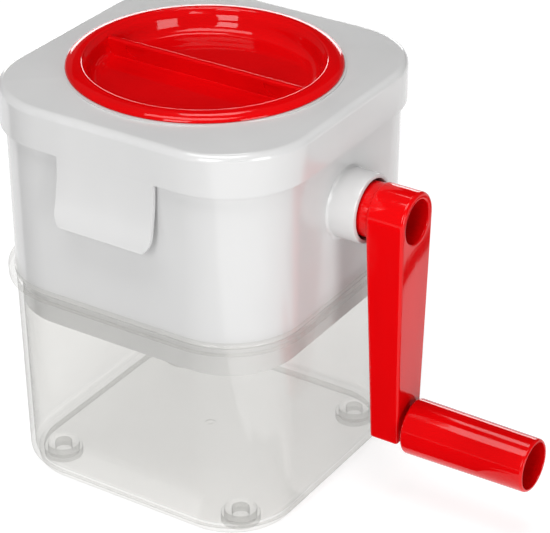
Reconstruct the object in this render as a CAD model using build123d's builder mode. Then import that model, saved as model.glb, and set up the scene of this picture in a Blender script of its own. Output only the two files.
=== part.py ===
from build123d import *
import math
import os

os.makedirs("parts", exist_ok=True)

# Hand cranked ice crusher. Millimetres, +Z up, +X towards the crank.
# The origin is the middle of the base, on the table.

# ------------------------------------------------------------------ sizes
# Clear ice bin
bin_height = 85.0
bin_foot_inset = 1.6
bin_foot_corner_inset = 1.4
bin_wall = 1.8
bin_floor = 1.7
rim_depth = 2.8
ledge_thickness = 1.6
rim_wall = 2.4
base_ring_inset = 3.3
base_ring_corner_inset = 3.8
base_ring_height = 3.4
base_ring_wall = 1.8
foot_inset = 13.6
foot_radius = 7.4
foot_wall = 1.2
foot_bottom = 1.0
foot_post_radius = 3.3

# White housing
housing_height = 74.0
housing_foot_half = 59.5
housing_corner = 29.2
housing_draft = 0.45
housing_wall = 2.0
spigot_height = 12.4
nest_clearance = 0.4
shoulder_web = 2.2

# Crank line: height of the shaft, and the collar it leaves through
shaft_drop = 35.8
collar_radius = 13.0
collar_reach = 11.1
collar_bore = 11.2
collar_web = 4.6
collar_inner_boss = 12.5
collar_boss_reach = 2.9
collar_root_fillet = 1.2

# Cover with its lifting tab
cover_gap = 0.75
cover_corner_growth = 3.8
cover_wall = 1.8
skirt_depth = 13.2
cover_edge_thickness = 2.3
cover_slope = 0.05
cover_edge_fillet = 2.6
lid_opening_inset = 6.9
lid_seat_margin = 0.8
lid_seat_rise = 1.2
tab_half_width = 20.6
tab_drop = 26.0
tab_flare = 4.2
tab_thickness = 1.6
tab_corner = 7.0

# Lid
lid_inset = 12.1
lid_plug_clearance = 0.4
lid_wall = 2.2
lid_ridge_rise = 2.7
lid_ridge_inset = 5.4
lid_dish_depth = 6.0
lid_floor_inset = 11.0
lid_floor_fillet = 4.0
bar_rise = 6.5
bar_thickness = 2.8
bar_mark_place = 30.0
bar_mark_radius = 4.2
bar_mark_depth = 0.4

# Hopper insert
flange_drop = 6.2
flange_thickness = 2.0
flange_gap = 0.6
hopper_mouth_inset = 2.0
hopper_wall = 2.0
chamber_half_x = 38.0
chamber_half_y = 31.0
chamber_corner = 4.0
chamber_above_shaft = 14.0
chamber_below_shaft = 22.5
shelf_width = 7.0
shelf_thickness = 4.0
pillar_inset = 12.3
pillar_radius = 4.4
pillar_length = 26.0
hopper_screw_radius = 1.6
hopper_screw_length = 11.0
hopper_screw_head_radius = 3.0
hopper_screw_head_height = 2.0

# Rotor
hex_across_flats = 8.0
claw_count = 5
claw_pitch = 13.0
claw_thickness = 2.5
claw_radius = 21.0
claw_hub_radius = 8.0
claw_teeth = 3
claw_twist = 24.0
hex_clearance = 0.06
spacer_radius = 7.6
rotor_end_gap = 0.3

# Shaft and its bearings
journal_radius = 4.0
running_clearance = 0.06
bush_radius = 7.5
bush_flange_radius = 10.5
bush_flange_thickness = 1.5
far_bush_radius = 6.5
far_bush_flange_radius = 9.0
far_bush_reach = 2.0
shaft_flat_half = 2.9
clip_radius = 6.5
clip_thickness = 0.8
clip_groove_radius = 3.1
clip_gap = 0.3
shaft_tail = 2.0

# Fixed combs
comb_thickness = 2.0
comb_root_gap = 1.5
comb_tip = 9.6
comb_tooth_root = 6.6
comb_tooth_tip = 4.2
comb_edge_gap = 0.3
comb_screw_radius = 1.5
comb_screw_head_radius = 2.8
comb_screw_head_height = 1.6
comb_screw_place = 30.0

# Crank arm
arm_gap = 3.3
arm_depth_top = 15.2
arm_depth_foot = 11.8
arm_face_lean = 1.1
arm_boss_radius = 11.0
arm_foot_half = 8.3
arm_below_grip = 5.4
arm_edge = 1.3
crank_radius = 84.4
hub_neck_radius = 10.7
hub_end_gap = 0.6
shaft_end_gap = 2.3
boss_bore_radius = 8.8
boss_bore_depth = 11.0
arm_pocket_wall = 2.4
arm_pocket_face = 3.2
arm_pocket_ribs = 2
arm_rib = 2.0
crank_screw_radius = 2.0
crank_screw_length = 13.0
crank_screw_head_radius = 3.8
crank_screw_head_height = 2.8
crank_washer_radius = 7.0
crank_washer_thickness = 1.0
screw_clearance = 0.15
thread_clearance = 0.03

# Grip
grip_length = 49.6
grip_inner_end_radius = 10.6
grip_outer_end_radius = 10.1
grip_wall = 1.4
grip_web = 8.8
grip_end_gap = 0.3
grip_seat_radius = 5.2
grip_seat_height = 1.7
grip_pin_radius = 4.0
grip_pin_stem_radius = 2.5
grip_pin_head_radius = 6.8
grip_pin_head_height = 2.4
grip_edge = 1.1

# ------------------------------------------------------------------ places
eps = 0.01
bin_foot_half = housing_foot_half - bin_foot_inset
bin_foot_corner = housing_corner - bin_foot_corner_inset
base_ring_half = bin_foot_half - base_ring_inset
base_ring_corner = bin_foot_corner - base_ring_corner_inset
foot_place = base_ring_half - foot_inset
shoulder_z = bin_height - rim_depth
ledge_z = shoulder_z - ledge_thickness
bin_growth = (housing_foot_half - housing_wall + nest_clearance / 2) - (bin_foot_half - bin_wall)
bin_draft = math.degrees(math.atan(bin_growth / (shoulder_z - base_ring_height)))
bin_inner_half = bin_foot_half - bin_wall + bin_growth
bin_inner_corner = bin_foot_corner - bin_wall + bin_growth
spigot_half = bin_inner_half - nest_clearance
spigot_corner = bin_inner_corner - nest_clearance
rim_half = housing_foot_half + nest_clearance + rim_wall
rim_corner = housing_corner + nest_clearance + rim_wall

housing_base_z = shoulder_z - spigot_height
housing_top_z = shoulder_z + housing_height
housing_angle = math.degrees(math.atan(housing_draft / housing_height))
shaft_z = housing_top_z - shaft_drop
wall_x = housing_foot_half + housing_draft * (shaft_z - shoulder_z) / housing_height
collar_end_x = wall_x + collar_reach
cavity_x = wall_x - housing_wall + collar_web
boss_x = wall_x - housing_wall - collar_boss_reach

cover_half = housing_foot_half + housing_draft + cover_gap + cover_wall
cover_corner = housing_corner + cover_corner_growth
cover_edge_z = housing_top_z + cover_edge_thickness
skirt_z = housing_top_z - skirt_depth
lid_seat_z = cover_edge_z + lid_seat_rise
lid_radius = cover_half - lid_inset
lid_ridge_radius = lid_radius - lid_ridge_inset
lid_floor_radius = lid_radius - lid_floor_inset
lid_seat_radius = lid_radius + lid_seat_margin
lid_opening_radius = lid_radius - lid_opening_inset
lid_plug_radius = lid_opening_radius - lid_plug_clearance
lid_floor_z = lid_seat_z - lid_dish_depth

hopper_mouth_radius = lid_opening_radius - hopper_mouth_inset
pillar_place = housing_foot_half - pillar_inset
flange_top_z = housing_top_z - flange_drop
flange_z = flange_top_z - flange_thickness
chamber_top_z = shaft_z + chamber_above_shaft
chamber_low_z = shaft_z - chamber_below_shaft

claw_x = [claw_pitch * (i - (claw_count - 1) / 2) for i in range(claw_count)]
far_flange_x = -chamber_half_x + bush_flange_thickness
hex_low_x = far_flange_x + rotor_end_gap
hex_high_x = chamber_half_x - rotor_end_gap
hex_inner_radius = hex_across_flats / 2
hex_corner_radius = hex_inner_radius / math.cos(math.radians(30))

comb_z = shaft_z - comb_thickness
comb_root = claw_radius + comb_root_gap
shelf_y = chamber_half_y - shelf_width

arm_x = collar_end_x + arm_gap
arm_face_x = arm_x + arm_depth_top
arm_foot_face_x = arm_face_x - arm_face_lean
bore_floor_x = arm_face_x - boss_bore_depth
hub_x = cavity_x + hub_end_gap
shaft_end_x = bore_floor_x - shaft_end_gap
grip_z = shaft_z - crank_radius
arm_foot_z = grip_z - arm_below_grip
seat_x = arm_foot_face_x + grip_seat_height
grip_x = seat_x + grip_end_gap
grip_end_x = grip_x + grip_length

# ------------------------------------------------------------------ ice bin
with BuildPart() as ice_bin:
    # base ring, hollow underneath
    with BuildSketch():
        RectangleRounded(2 * base_ring_half, 2 * base_ring_half, base_ring_corner)
        inner = base_ring_half - base_ring_wall
        RectangleRounded(2 * inner, 2 * inner, base_ring_corner - base_ring_wall, mode=Mode.SUBTRACT)
    extrude(amount=base_ring_height + bin_floor / 2)
    # drafted walls
    with BuildSketch(Plane.XY.offset(base_ring_height)):
        RectangleRounded(2 * bin_foot_half, 2 * bin_foot_half, bin_foot_corner)
    extrude(amount=shoulder_z - base_ring_height, taper=-bin_draft)
    # rim band round the shoulder of the housing
    with BuildSketch(Plane.XY.offset(ledge_z)):
        RectangleRounded(2 * rim_half, 2 * rim_half, rim_corner)
    extrude(amount=bin_height - ledge_z)
    # the inside, down to the floor
    with BuildSketch(Plane.XY.offset(base_ring_height)):
        inner = bin_foot_half - bin_wall
        RectangleRounded(2 * inner, 2 * inner, bin_foot_corner - bin_wall)
    extrude(amount=shoulder_z - base_ring_height + eps, taper=-bin_draft, mode=Mode.SUBTRACT)
    # the seat of the housing in the rim
    with BuildSketch(Plane.XY.offset(shoulder_z)):
        inner = rim_half - rim_wall
        RectangleRounded(2 * inner, 2 * inner, rim_corner - rim_wall)
    extrude(amount=rim_depth + eps, mode=Mode.SUBTRACT)
    # floor
    with BuildSketch(Plane.XY.offset(base_ring_height)):
        inner = bin_foot_half - bin_wall / 2
        RectangleRounded(2 * inner, 2 * inner, bin_foot_corner - bin_wall / 2)
    extrude(amount=bin_floor)
    # four round feet that go down from the floor to the table
    with BuildSketch():
        with GridLocations(2 * foot_place, 2 * foot_place, 2, 2):
            Circle(foot_radius)
    extrude(amount=base_ring_height + bin_floor / 2)
    with BuildSketch(Plane.XY.offset(foot_bottom)):
        with GridLocations(2 * foot_place, 2 * foot_place, 2, 2):
            Circle(foot_radius - foot_wall)
            Circle(foot_post_radius, mode=Mode.SUBTRACT)
    extrude(amount=base_ring_height + bin_floor, mode=Mode.SUBTRACT)
    # softened edges of the rim
    fillet(ice_bin.edges().group_by(Axis.Z)[-1], radius=rim_wall * 0.35)
ice_bin.part.label = "ice_bin"
export_step(ice_bin.part, "parts/ice_bin.step")

# ------------------------------------------------------------------ housing
with BuildPart() as housing:
    with BuildSketch(Plane.XY.offset(housing_base_z)):
        RectangleRounded(2 * spigot_half, 2 * spigot_half, spigot_corner)
        RectangleRounded(
            2 * (spigot_half - housing_wall),
            2 * (spigot_half - housing_wall),
            spigot_corner - housing_wall,
            mode=Mode.SUBTRACT,
        )
    extrude(amount=spigot_height + shoulder_web)
    with BuildSketch(Plane.XY.offset(shoulder_z)):
        RectangleRounded(2 * housing_foot_half, 2 * housing_foot_half, housing_corner)
    extrude(amount=housing_height, taper=-housing_angle)
    # collar for the crank, and the boss inside the wall
    with BuildSketch(Plane.YZ.offset(boss_x)):
        with Locations((0, shaft_z)):
            Circle(collar_inner_boss)
    extrude(amount=wall_x - boss_x)
    with BuildSketch(Plane.YZ.offset(wall_x - housing_wall / 2)):
        with Locations((0, shaft_z)):
            Circle(collar_radius)
    extrude(amount=collar_reach + housing_wall / 2)
    # the inside, kept clear of the collar's boss
    with BuildSketch(Plane.XY.offset(shoulder_z - eps)):
        inner = spigot_half - housing_wall
        RectangleRounded(2 * inner, 2 * inner, spigot_corner - housing_wall)
    extrude(amount=shoulder_web + 2 * eps, mode=Mode.SUBTRACT)
    with BuildSketch(Plane.XY.offset(shoulder_z + shoulder_web)):
        inner = housing_foot_half - housing_wall
        RectangleRounded(2 * inner, 2 * inner, housing_corner - housing_wall)
    extrude(amount=housing_height, taper=-housing_angle, mode=Mode.SUBTRACT)
    with BuildSketch(Plane.YZ.offset(boss_x)):
        with Locations((0, shaft_z)):
            Circle(collar_inner_boss)
    extrude(amount=wall_x - boss_x - housing_wall / 2)
    with BuildSketch(Plane.YZ.offset(cavity_x)):
        with Locations((0, shaft_z)):
            Circle(collar_bore)
    extrude(amount=2 * collar_reach, mode=Mode.SUBTRACT)
    with BuildSketch(Plane.YZ.offset(boss_x - 1)):
        with Locations((0, shaft_z)):
            Circle(bush_radius)
    extrude(amount=2 * collar_reach, mode=Mode.SUBTRACT)
    # screw pillars in the four corners
    with BuildSketch(Plane.XY.offset(flange_z - pillar_length)):
        with GridLocations(2 * pillar_place, 2 * pillar_place, 2, 2):
            Circle(pillar_radius)
    extrude(amount=pillar_length)
    with BuildSketch(Plane.XY.offset(flange_z)):
        with GridLocations(2 * pillar_place, 2 * pillar_place, 2, 2):
            Circle(hopper_screw_radius + thread_clearance)
    extrude(amount=-hopper_screw_length - 1, mode=Mode.SUBTRACT)
    # small radius where the collar leaves the wall, and round its mouth
    root = housing.edges().filter_by(
        lambda e: abs(e.center().X - wall_x) < 0.5
        and abs(e.center().Z - shaft_z) < 1
        and abs(e.length - 2 * math.pi * collar_radius) < 1
    )
    fillet(root, radius=collar_root_fillet)
    mouth = housing.edges().filter_by(GeomType.CIRCLE).group_by(Axis.X)[-1]
    fillet(mouth, radius=(collar_radius - collar_bore) * 0.35)
housing.part.label = "housing"
export_step(housing.part, "parts/housing.step")

# ------------------------------------------------------------------ cover
hip_rise = cover_slope * cover_half
with BuildPart() as cover_roof:
    # four gently sloping faces that meet in hips at the corners
    with BuildSketch(Plane.XY.offset(skirt_z)):
        Rectangle(2 * cover_half, 2 * cover_half)
    extrude(amount=cover_edge_z - skirt_z)
    with BuildSketch(Plane.XY.offset(cover_edge_z)):
        Rectangle(2 * cover_half, 2 * cover_half)
    extrude(amount=hip_rise * 0.6, taper=math.degrees(math.atan(1 / cover_slope)))
with BuildPart() as cover:
    with BuildSketch(Plane.XY.offset(skirt_z)):
        RectangleRounded(2 * cover_half, 2 * cover_half, cover_corner)
    extrude(amount=cover_edge_z + hip_rise - skirt_z)
    add(cover_roof.part, mode=Mode.INTERSECT)
    top_edges = cover.edges().filter_by(
        lambda e: e.center().Z > cover_edge_z - eps
        and max(abs(e.center().X), abs(e.center().Y)) > cover_half * 0.75
        and e.length > cover_corner / 3
        and not abs(abs(e.center().X) - abs(e.center().Y)) < eps
    )
    fillet(top_edges, radius=cover_edge_fillet)
    # round seat of the lid
    with BuildSketch(Plane.XY.offset(housing_top_z)):
        Circle(lid_seat_radius)
    extrude(amount=lid_seat_z - housing_top_z)
    with BuildSketch(Plane.XY.offset(lid_seat_z)):
        Circle(lid_seat_radius)
    extrude(amount=hip_rise, mode=Mode.SUBTRACT)
    # the inside, which drops over the top of the housing
    with BuildSketch(Plane.XY.offset(skirt_z)):
        inner = cover_half - cover_wall
        RectangleRounded(2 * inner, 2 * inner, cover_corner - cover_wall)
    extrude(amount=skirt_depth, mode=Mode.SUBTRACT)
    with BuildSketch(Plane.XY.offset(skirt_z)):
        Circle(lid_opening_radius)
    extrude(amount=2 * skirt_depth, mode=Mode.SUBTRACT)
    # lifting tab: a tongue below the front skirt that curves outwards
    tab_angle = 2 * math.degrees(math.atan(tab_flare / tab_drop))
    tab_bend = tab_drop / math.sin(math.radians(tab_angle))
    with BuildSketch(Plane.YZ.offset(-tab_half_width)):
        with BuildLine():
            outer = RadiusArc(
                (-cover_half, skirt_z),
                (-cover_half - tab_flare, skirt_z - tab_drop),
                tab_bend,
            )
            inner_arc = RadiusArc(
                (-cover_half + tab_thickness, skirt_z),
                (
                    -cover_half - tab_flare + tab_thickness * math.cos(math.radians(tab_angle)),
                    skirt_z - tab_drop - tab_thickness * math.sin(math.radians(tab_angle)),
                ),
                tab_bend + tab_thickness,
            )
            Line(outer @ 1, inner_arc @ 1)
            Line(inner_arc @ 0, (-cover_half + tab_thickness, skirt_z + skirt_depth / 4))
            Line((-cover_half + tab_thickness, skirt_z + skirt_depth / 4), (-cover_half, skirt_z + skirt_depth / 4))
            Line((-cover_half, skirt_z + skirt_depth / 4), outer @ 0)
        make_face()
    extrude(amount=2 * tab_half_width)
    # rounded lower corners of the tab
    with BuildSketch(Plane.XZ.offset(cover_half - cover_wall - 2)):
        low = skirt_z - tab_drop - tab_thickness
        with Locations((0, low)):
            Rectangle(2 * tab_half_width + 2, 4 * tab_corner)
        with Locations((0, low + 2 * tab_corner)):
            RectangleRounded(2 * tab_half_width, 4 * tab_corner, tab_corner, mode=Mode.SUBTRACT)
    extrude(amount=4 * tab_flare, mode=Mode.SUBTRACT)
cover.part.label = "cover"
export_step(cover.part, "parts/cover.step")

# ------------------------------------------------------------------ lid
ridge_z = lid_seat_z + lid_ridge_rise
with BuildPart() as lid_bar:
    with BuildSketch(Plane.XY.offset(lid_floor_z - lid_wall / 2)):
        Rectangle(2 * lid_plug_radius - 0.6, bar_thickness)
    extrude(amount=bar_rise + lid_wall / 2)
    long_edges = lid_bar.edges().filter_by(Axis.X).group_by(Axis.Z)[-1]
    fillet(long_edges, radius=bar_thickness * 0.3)
with BuildPart() as lid:
    with BuildSketch(Plane.XZ):
        with BuildLine():
            Line((0, lid_floor_z), (lid_floor_radius - lid_floor_fillet, lid_floor_z))
            wall_foot = (lid_floor_radius, lid_floor_z + lid_floor_fillet * 0.75)
            ThreePointArc(
                (lid_floor_radius - lid_floor_fillet, lid_floor_z),
                (lid_floor_radius - lid_floor_fillet * 0.36, lid_floor_z + lid_floor_fillet * 0.2),
                wall_foot,
            )
            lip = (lid_ridge_radius - 2.2, ridge_z - 1.3)
            Line(wall_foot, lip)
            ThreePointArc(lip, (lid_ridge_radius - 1.2, ridge_z - 0.25), (lid_ridge_radius, ridge_z))
            brim = (lid_radius, lid_seat_z + 0.7)
            ThreePointArc((lid_ridge_radius, ridge_z), (lid_radius - 2.1, ridge_z - 0.75), brim)
            Polyline(
                brim,
                (lid_radius, lid_seat_z + 0.3),
                (lid_radius - 0.3, lid_seat_z),
                (lid_plug_radius, lid_seat_z),
                (lid_plug_radius, lid_floor_z + 1.0),
                (lid_plug_radius - 3.0, lid_floor_z - lid_wall),
                (0, lid_floor_z - lid_wall),
                (0, lid_floor_z),
            )
        make_face()
    revolve(axis=Axis.Z)
    # grip bar across the dish, its ends buried in the wall
    add(lid_bar.part)
    # shallow half round marks near the ends of the bar, on both faces
    for side in (-1, 1):
        start = side * (bar_thickness / 2 - bar_mark_depth)
        with BuildSketch(Plane.XZ.offset(-start)):
            with Locations(
                (-bar_mark_place, lid_floor_z + bar_rise - 1.4),
                (bar_mark_place, lid_floor_z + bar_rise - 1.4),
            ):
                Circle(bar_mark_radius)
                with Locations((0, bar_mark_radius)):
                    Rectangle(3 * bar_mark_radius, 2 * bar_mark_radius, mode=Mode.SUBTRACT)
        extrude(amount=-side * bar_thickness, mode=Mode.SUBTRACT)
lid.part.label = "lid"
export_step(lid.part, "parts/lid.step")

# ------------------------------------------------------------------ hopper
with BuildPart() as hopper:
    # flange that rests on the corner pillars
    flange_half = housing_foot_half - housing_wall - flange_gap
    flange_corner = housing_corner - housing_wall - flange_gap
    with BuildSketch(Plane.XY.offset(flange_z)):
        RectangleRounded(2 * flange_half, 2 * flange_half, flange_corner)
    extrude(amount=flange_thickness)
    # funnel from the round mouth to the square throat
    with BuildSketch(Plane.XY.offset(flange_z)):
        Circle(hopper_mouth_radius + hopper_wall)
    with BuildSketch(Plane.XY.offset(chamber_top_z)):
        RectangleRounded(
            2 * (chamber_half_x + hopper_wall),
            2 * (chamber_half_y + hopper_wall),
            chamber_corner + hopper_wall,
        )
    loft(ruled=True)
    with BuildSketch(Plane.XY.offset(chamber_low_z)):
        RectangleRounded(
            2 * (chamber_half_x + hopper_wall),
            2 * (chamber_half_y + hopper_wall),
            chamber_corner + hopper_wall,
        )
    extrude(amount=chamber_top_z - chamber_low_z)
    # the way through for the ice
    with BuildSketch(Plane.XY.offset(flange_z)):
        Circle(hopper_mouth_radius)
    extrude(amount=flange_thickness + eps, mode=Mode.SUBTRACT)
    with BuildSketch(Plane.XY.offset(flange_z)):
        Circle(hopper_mouth_radius)
    with BuildSketch(Plane.XY.offset(chamber_top_z)):
        RectangleRounded(2 * chamber_half_x, 2 * chamber_half_y, chamber_corner)
    loft(ruled=True, mode=Mode.SUBTRACT)
    with BuildSketch(Plane.XY.offset(chamber_low_z)):
        RectangleRounded(2 * chamber_half_x, 2 * chamber_half_y, chamber_corner)
    extrude(amount=chamber_top_z - chamber_low_z, mode=Mode.SUBTRACT)
    # shelves that carry the two combs
    for side in (-1, 1):
        with BuildSketch(Plane.XY.offset(comb_z - shelf_thickness)):
            with Locations((0, side * (shelf_y + chamber_half_y + hopper_wall / 2) / 2)):
                Rectangle(2 * chamber_half_x + hopper_wall, shelf_width + hopper_wall / 2)
        extrude(amount=shelf_thickness)
    # screw holes in the shelves and in the flange
    with BuildSketch(Plane.XY.offset(comb_z)):
        with GridLocations(2 * comb_screw_place, shelf_y + chamber_half_y, 2, 2):
            Circle(comb_screw_radius + thread_clearance)
    extrude(amount=-shelf_thickness - eps, mode=Mode.SUBTRACT)
    with BuildSketch(Plane.XY.offset(flange_z)):
        with GridLocations(2 * pillar_place, 2 * pillar_place, 2, 2):
            Circle(hopper_screw_radius + screw_clearance)
    extrude(amount=flange_thickness + eps, mode=Mode.SUBTRACT)
    # bearing hole on the far side, clearance hole on the crank side
    with BuildSketch(Plane.YZ.offset(-chamber_half_x - 2 * hopper_wall)):
        with Locations((0, shaft_z)):
            Circle(far_bush_radius)
    extrude(amount=3 * hopper_wall, mode=Mode.SUBTRACT)
    with BuildSketch(Plane.YZ.offset(chamber_half_x - hopper_wall)):
        with Locations((0, shaft_z)):
            Circle(hex_corner_radius + 0.9)
    extrude(amount=3 * hopper_wall, mode=Mode.SUBTRACT)
hopper.part.label = "hopper"
export_step(hopper.part, "parts/hopper.step")

with BuildPart() as hopper_screws:
    with BuildSketch(Plane.XY.offset(flange_top_z)):
        with GridLocations(2 * pillar_place, 2 * pillar_place, 2, 2):
            Circle(hopper_screw_radius)
    extrude(amount=-hopper_screw_length)
    with BuildSketch(Plane.XY.offset(flange_top_z)):
        with GridLocations(2 * pillar_place, 2 * pillar_place, 2, 2):
            Circle(hopper_screw_head_radius)
    extrude(amount=hopper_screw_head_height)
    chamfer(hopper_screws.edges().group_by(Axis.Z)[-1], length=hopper_screw_head_height * 0.3)
    # cross slots
    with BuildSketch(Plane.XY.offset(flange_top_z + hopper_screw_head_height)):
        with GridLocations(2 * pillar_place, 2 * pillar_place, 2, 2):
            Rectangle(hopper_screw_head_radius * 1.2, hopper_screw_head_radius * 0.3)
            Rectangle(hopper_screw_head_radius * 0.3, hopper_screw_head_radius * 1.2)
    extrude(amount=-hopper_screw_head_height * 0.6, mode=Mode.SUBTRACT)
hopper_screws.part.label = "hopper_screws"
export_step(hopper_screws.part, "parts/hopper_screws.step")

# ------------------------------------------------------------------ combs
gap_x = [x + claw_pitch / 2 for x in claw_x]
gap_x = [claw_x[0] - claw_pitch / 2] + gap_x
for side, name in ((-1, "front_comb"), (1, "rear_comb")):
    with BuildPart() as comb:
        with BuildSketch(Plane.XY.offset(comb_z)):
            back = chamber_half_y - comb_edge_gap
            with Locations((0, side * (back + comb_root) / 2)):
                Rectangle(2 * (chamber_half_x - comb_edge_gap), back - comb_root)
            for x in gap_x:
                with BuildLine():
                    Polyline(
                        (x - comb_tooth_root / 2, side * (comb_root + 0.5)),
                        (x - comb_tooth_root / 2, side * comb_root),
                        (x - comb_tooth_tip / 2, side * (comb_tip + 2.0)),
                        (x, side * comb_tip),
                        (x + comb_tooth_tip / 2, side * (comb_tip + 2.0)),
                        (x + comb_tooth_root / 2, side * comb_root),
                        (x + comb_tooth_root / 2, side * (comb_root + 0.5)),
                        close=True,
                    )
                make_face()
            # back corners follow the corners of the chamber
            RectangleRounded(
                2 * (chamber_half_x - comb_edge_gap),
                2 * (chamber_half_y - comb_edge_gap),
                chamber_corner - comb_edge_gap,
                mode=Mode.INTERSECT,
            )
        extrude(amount=comb_thickness)
        with BuildSketch(Plane.XY.offset(comb_z)):
            with Locations((0, side * (shelf_y + chamber_half_y) / 2)):
                with GridLocations(2 * comb_screw_place, 1, 2, 1):
                    Circle(comb_screw_radius + screw_clearance)
        extrude(amount=comb_thickness, mode=Mode.SUBTRACT)
    comb.part.label = name
    export_step(comb.part, "parts/" + name + ".step")
    with BuildPart() as comb_screws:
        with BuildSketch(Plane.XY.offset(comb_z + comb_thickness)):
            with Locations((0, side * (shelf_y + chamber_half_y) / 2)):
                with GridLocations(2 * comb_screw_place, 1, 2, 1):
                    Circle(comb_screw_radius)
        extrude(amount=-comb_thickness - shelf_thickness + 0.2)
        with BuildSketch(Plane.XY.offset(comb_z + comb_thickness)):
            with Locations((0, side * (shelf_y + chamber_half_y) / 2)):
                with GridLocations(2 * comb_screw_place, 1, 2, 1):
                    Circle(comb_screw_head_radius)
        extrude(amount=comb_screw_head_height)
        chamfer(comb_screws.edges().group_by(Axis.Z)[-1], length=comb_screw_head_height * 0.3)
    comb_screws.part.label = name + "_screws"
    export_step(comb_screws.part, "parts/" + name + "_screws.step")

# ------------------------------------------------------------------ shaft
groove_x = -chamber_half_x - hopper_wall - far_bush_reach - clip_gap - clip_thickness
tail_x = groove_x - shaft_tail
with BuildPart() as drive_shaft:
    with BuildSketch(Plane.YZ.offset(tail_x)):
        with Locations((0, shaft_z)):
            Circle(journal_radius)
    extrude(amount=shaft_end_x - tail_x)
    with BuildSketch(Plane.YZ.offset(hex_low_x)):
        with Locations((0, shaft_z)):
            RegularPolygon(hex_inner_radius, 6, major_radius=False)
    extrude(amount=hex_high_x - hex_low_x)
    # two flats that drive the crank, starting inside the hub
    with BuildSketch(Plane.YZ.offset(hub_x)):
        for side in (-1, 1):
            with Locations((0, shaft_z + side * (shaft_flat_half + journal_radius))):
                Rectangle(4 * journal_radius, 2 * journal_radius)
    extrude(amount=shaft_end_x - hub_x, mode=Mode.SUBTRACT)
    # groove of the retaining clip
    with BuildSketch(Plane.YZ.offset(groove_x)):
        with Locations((0, shaft_z)):
            Circle(journal_radius + 1)
            Circle(clip_groove_radius, mode=Mode.SUBTRACT)
    extrude(amount=clip_thickness, mode=Mode.SUBTRACT)
    # threaded hole of the crank screw
    with BuildSketch(Plane.YZ.offset(shaft_end_x)):
        with Locations((0, shaft_z)):
            Circle(crank_screw_radius + thread_clearance)
    extrude(amount=-crank_screw_length, mode=Mode.SUBTRACT)
    chamfer(drive_shaft.edges().group_by(Axis.X)[0], length=0.6)
drive_shaft.part.label = "drive_shaft"
export_step(drive_shaft.part, "parts/drive_shaft.step")

with BuildPart() as retaining_clip:
    with BuildSketch(Plane.YZ.offset(groove_x + thread_clearance)):
        with Locations((0, shaft_z)):
            Circle(clip_radius)
            Circle(clip_groove_radius + thread_clearance, mode=Mode.SUBTRACT)
            with Locations((0, -clip_radius)):
                Rectangle(1.5 * clip_groove_radius, 2 * clip_radius, mode=Mode.SUBTRACT)
            for angle in (30, 150):
                with PolarLocations(clip_radius - 1.1, 1, start_angle=angle):
                    Circle(0.7, mode=Mode.SUBTRACT)
    extrude(amount=clip_thickness - 2 * thread_clearance)
retaining_clip.part.label = "retaining_clip"
export_step(retaining_clip.part, "parts/retaining_clip.step")

# ------------------------------------------------------------------ bushes
with BuildPart() as crank_bush:
    with BuildSketch(Plane.YZ.offset(boss_x - bush_flange_thickness)):
        with Locations((0, shaft_z)):
            Circle(bush_flange_radius)
    extrude(amount=bush_flange_thickness)
    with BuildSketch(Plane.YZ.offset(boss_x)):
        with Locations((0, shaft_z)):
            Circle(bush_radius)
    extrude(amount=cavity_x - boss_x)
    with BuildSketch(Plane.YZ.offset(boss_x - bush_flange_thickness)):
        with Locations((0, shaft_z)):
            Circle(journal_radius + running_clearance)
    extrude(amount=2 * collar_reach, mode=Mode.SUBTRACT)
crank_bush.part.label = "crank_side_bush"
export_step(crank_bush.part, "parts/crank_side_bush.step")

with BuildPart() as far_bush:
    with BuildSketch(Plane.YZ.offset(-chamber_half_x)):
        with Locations((0, shaft_z)):
            Circle(far_bush_flange_radius)
    extrude(amount=bush_flange_thickness)
    with BuildSketch(Plane.YZ.offset(-chamber_half_x)):
        with Locations((0, shaft_z)):
            Circle(far_bush_radius)
    extrude(amount=-hopper_wall - far_bush_reach)
    with BuildSketch(Plane.YZ.offset(far_flange_x)):
        with Locations((0, shaft_z)):
            Circle(journal_radius + running_clearance)
    extrude(amount=-4 * hopper_wall, mode=Mode.SUBTRACT)
far_bush.part.label = "far_side_bush"
export_step(far_bush.part, "parts/far_side_bush.step")

# ------------------------------------------------------------------ claws
# Each claw is a stamped steel star whose hooked teeth lean into the turn.
for i, x in enumerate(claw_x):
    with BuildPart() as claw:
        with BuildSketch(Plane.YZ.offset(x - claw_thickness / 2)):
            with Locations((0, shaft_z)):
                Circle(claw_hub_radius)
            for k in range(claw_teeth):
                turn = 90 + claw_twist * i + k * 360 / claw_teeth
                with BuildLine():
                    tip = claw_radius
                    base = claw_hub_radius * 0.96
                    pts = []
                    for r, a in (
                        (base, -38),
                        (base + (tip - base) * 0.55, -12),
                        (tip, 4),
                        (tip - 1.0, 9),
                        (base + (tip - base) * 0.45, 16),
                        (base, 46),
                    ):
                        t = math.radians(turn + a)
                        pts.append((r * math.cos(t), shaft_z + r * math.sin(t)))
                    back = ThreePointArc(pts[0], pts[1], pts[2])
                    Line(pts[2], pts[3])
                    ThreePointArc(pts[3], pts[4], pts[5])
                    Line(pts[5], pts[0])
                make_face()
            with Locations((0, shaft_z)):
                RegularPolygon(hex_inner_radius + hex_clearance, 6, major_radius=False, mode=Mode.SUBTRACT)
        extrude(amount=claw_thickness)
    claw.part.label = "claw_" + str(i + 1)
    export_step(claw.part, "parts/claw_" + str(i + 1) + ".step")

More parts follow.
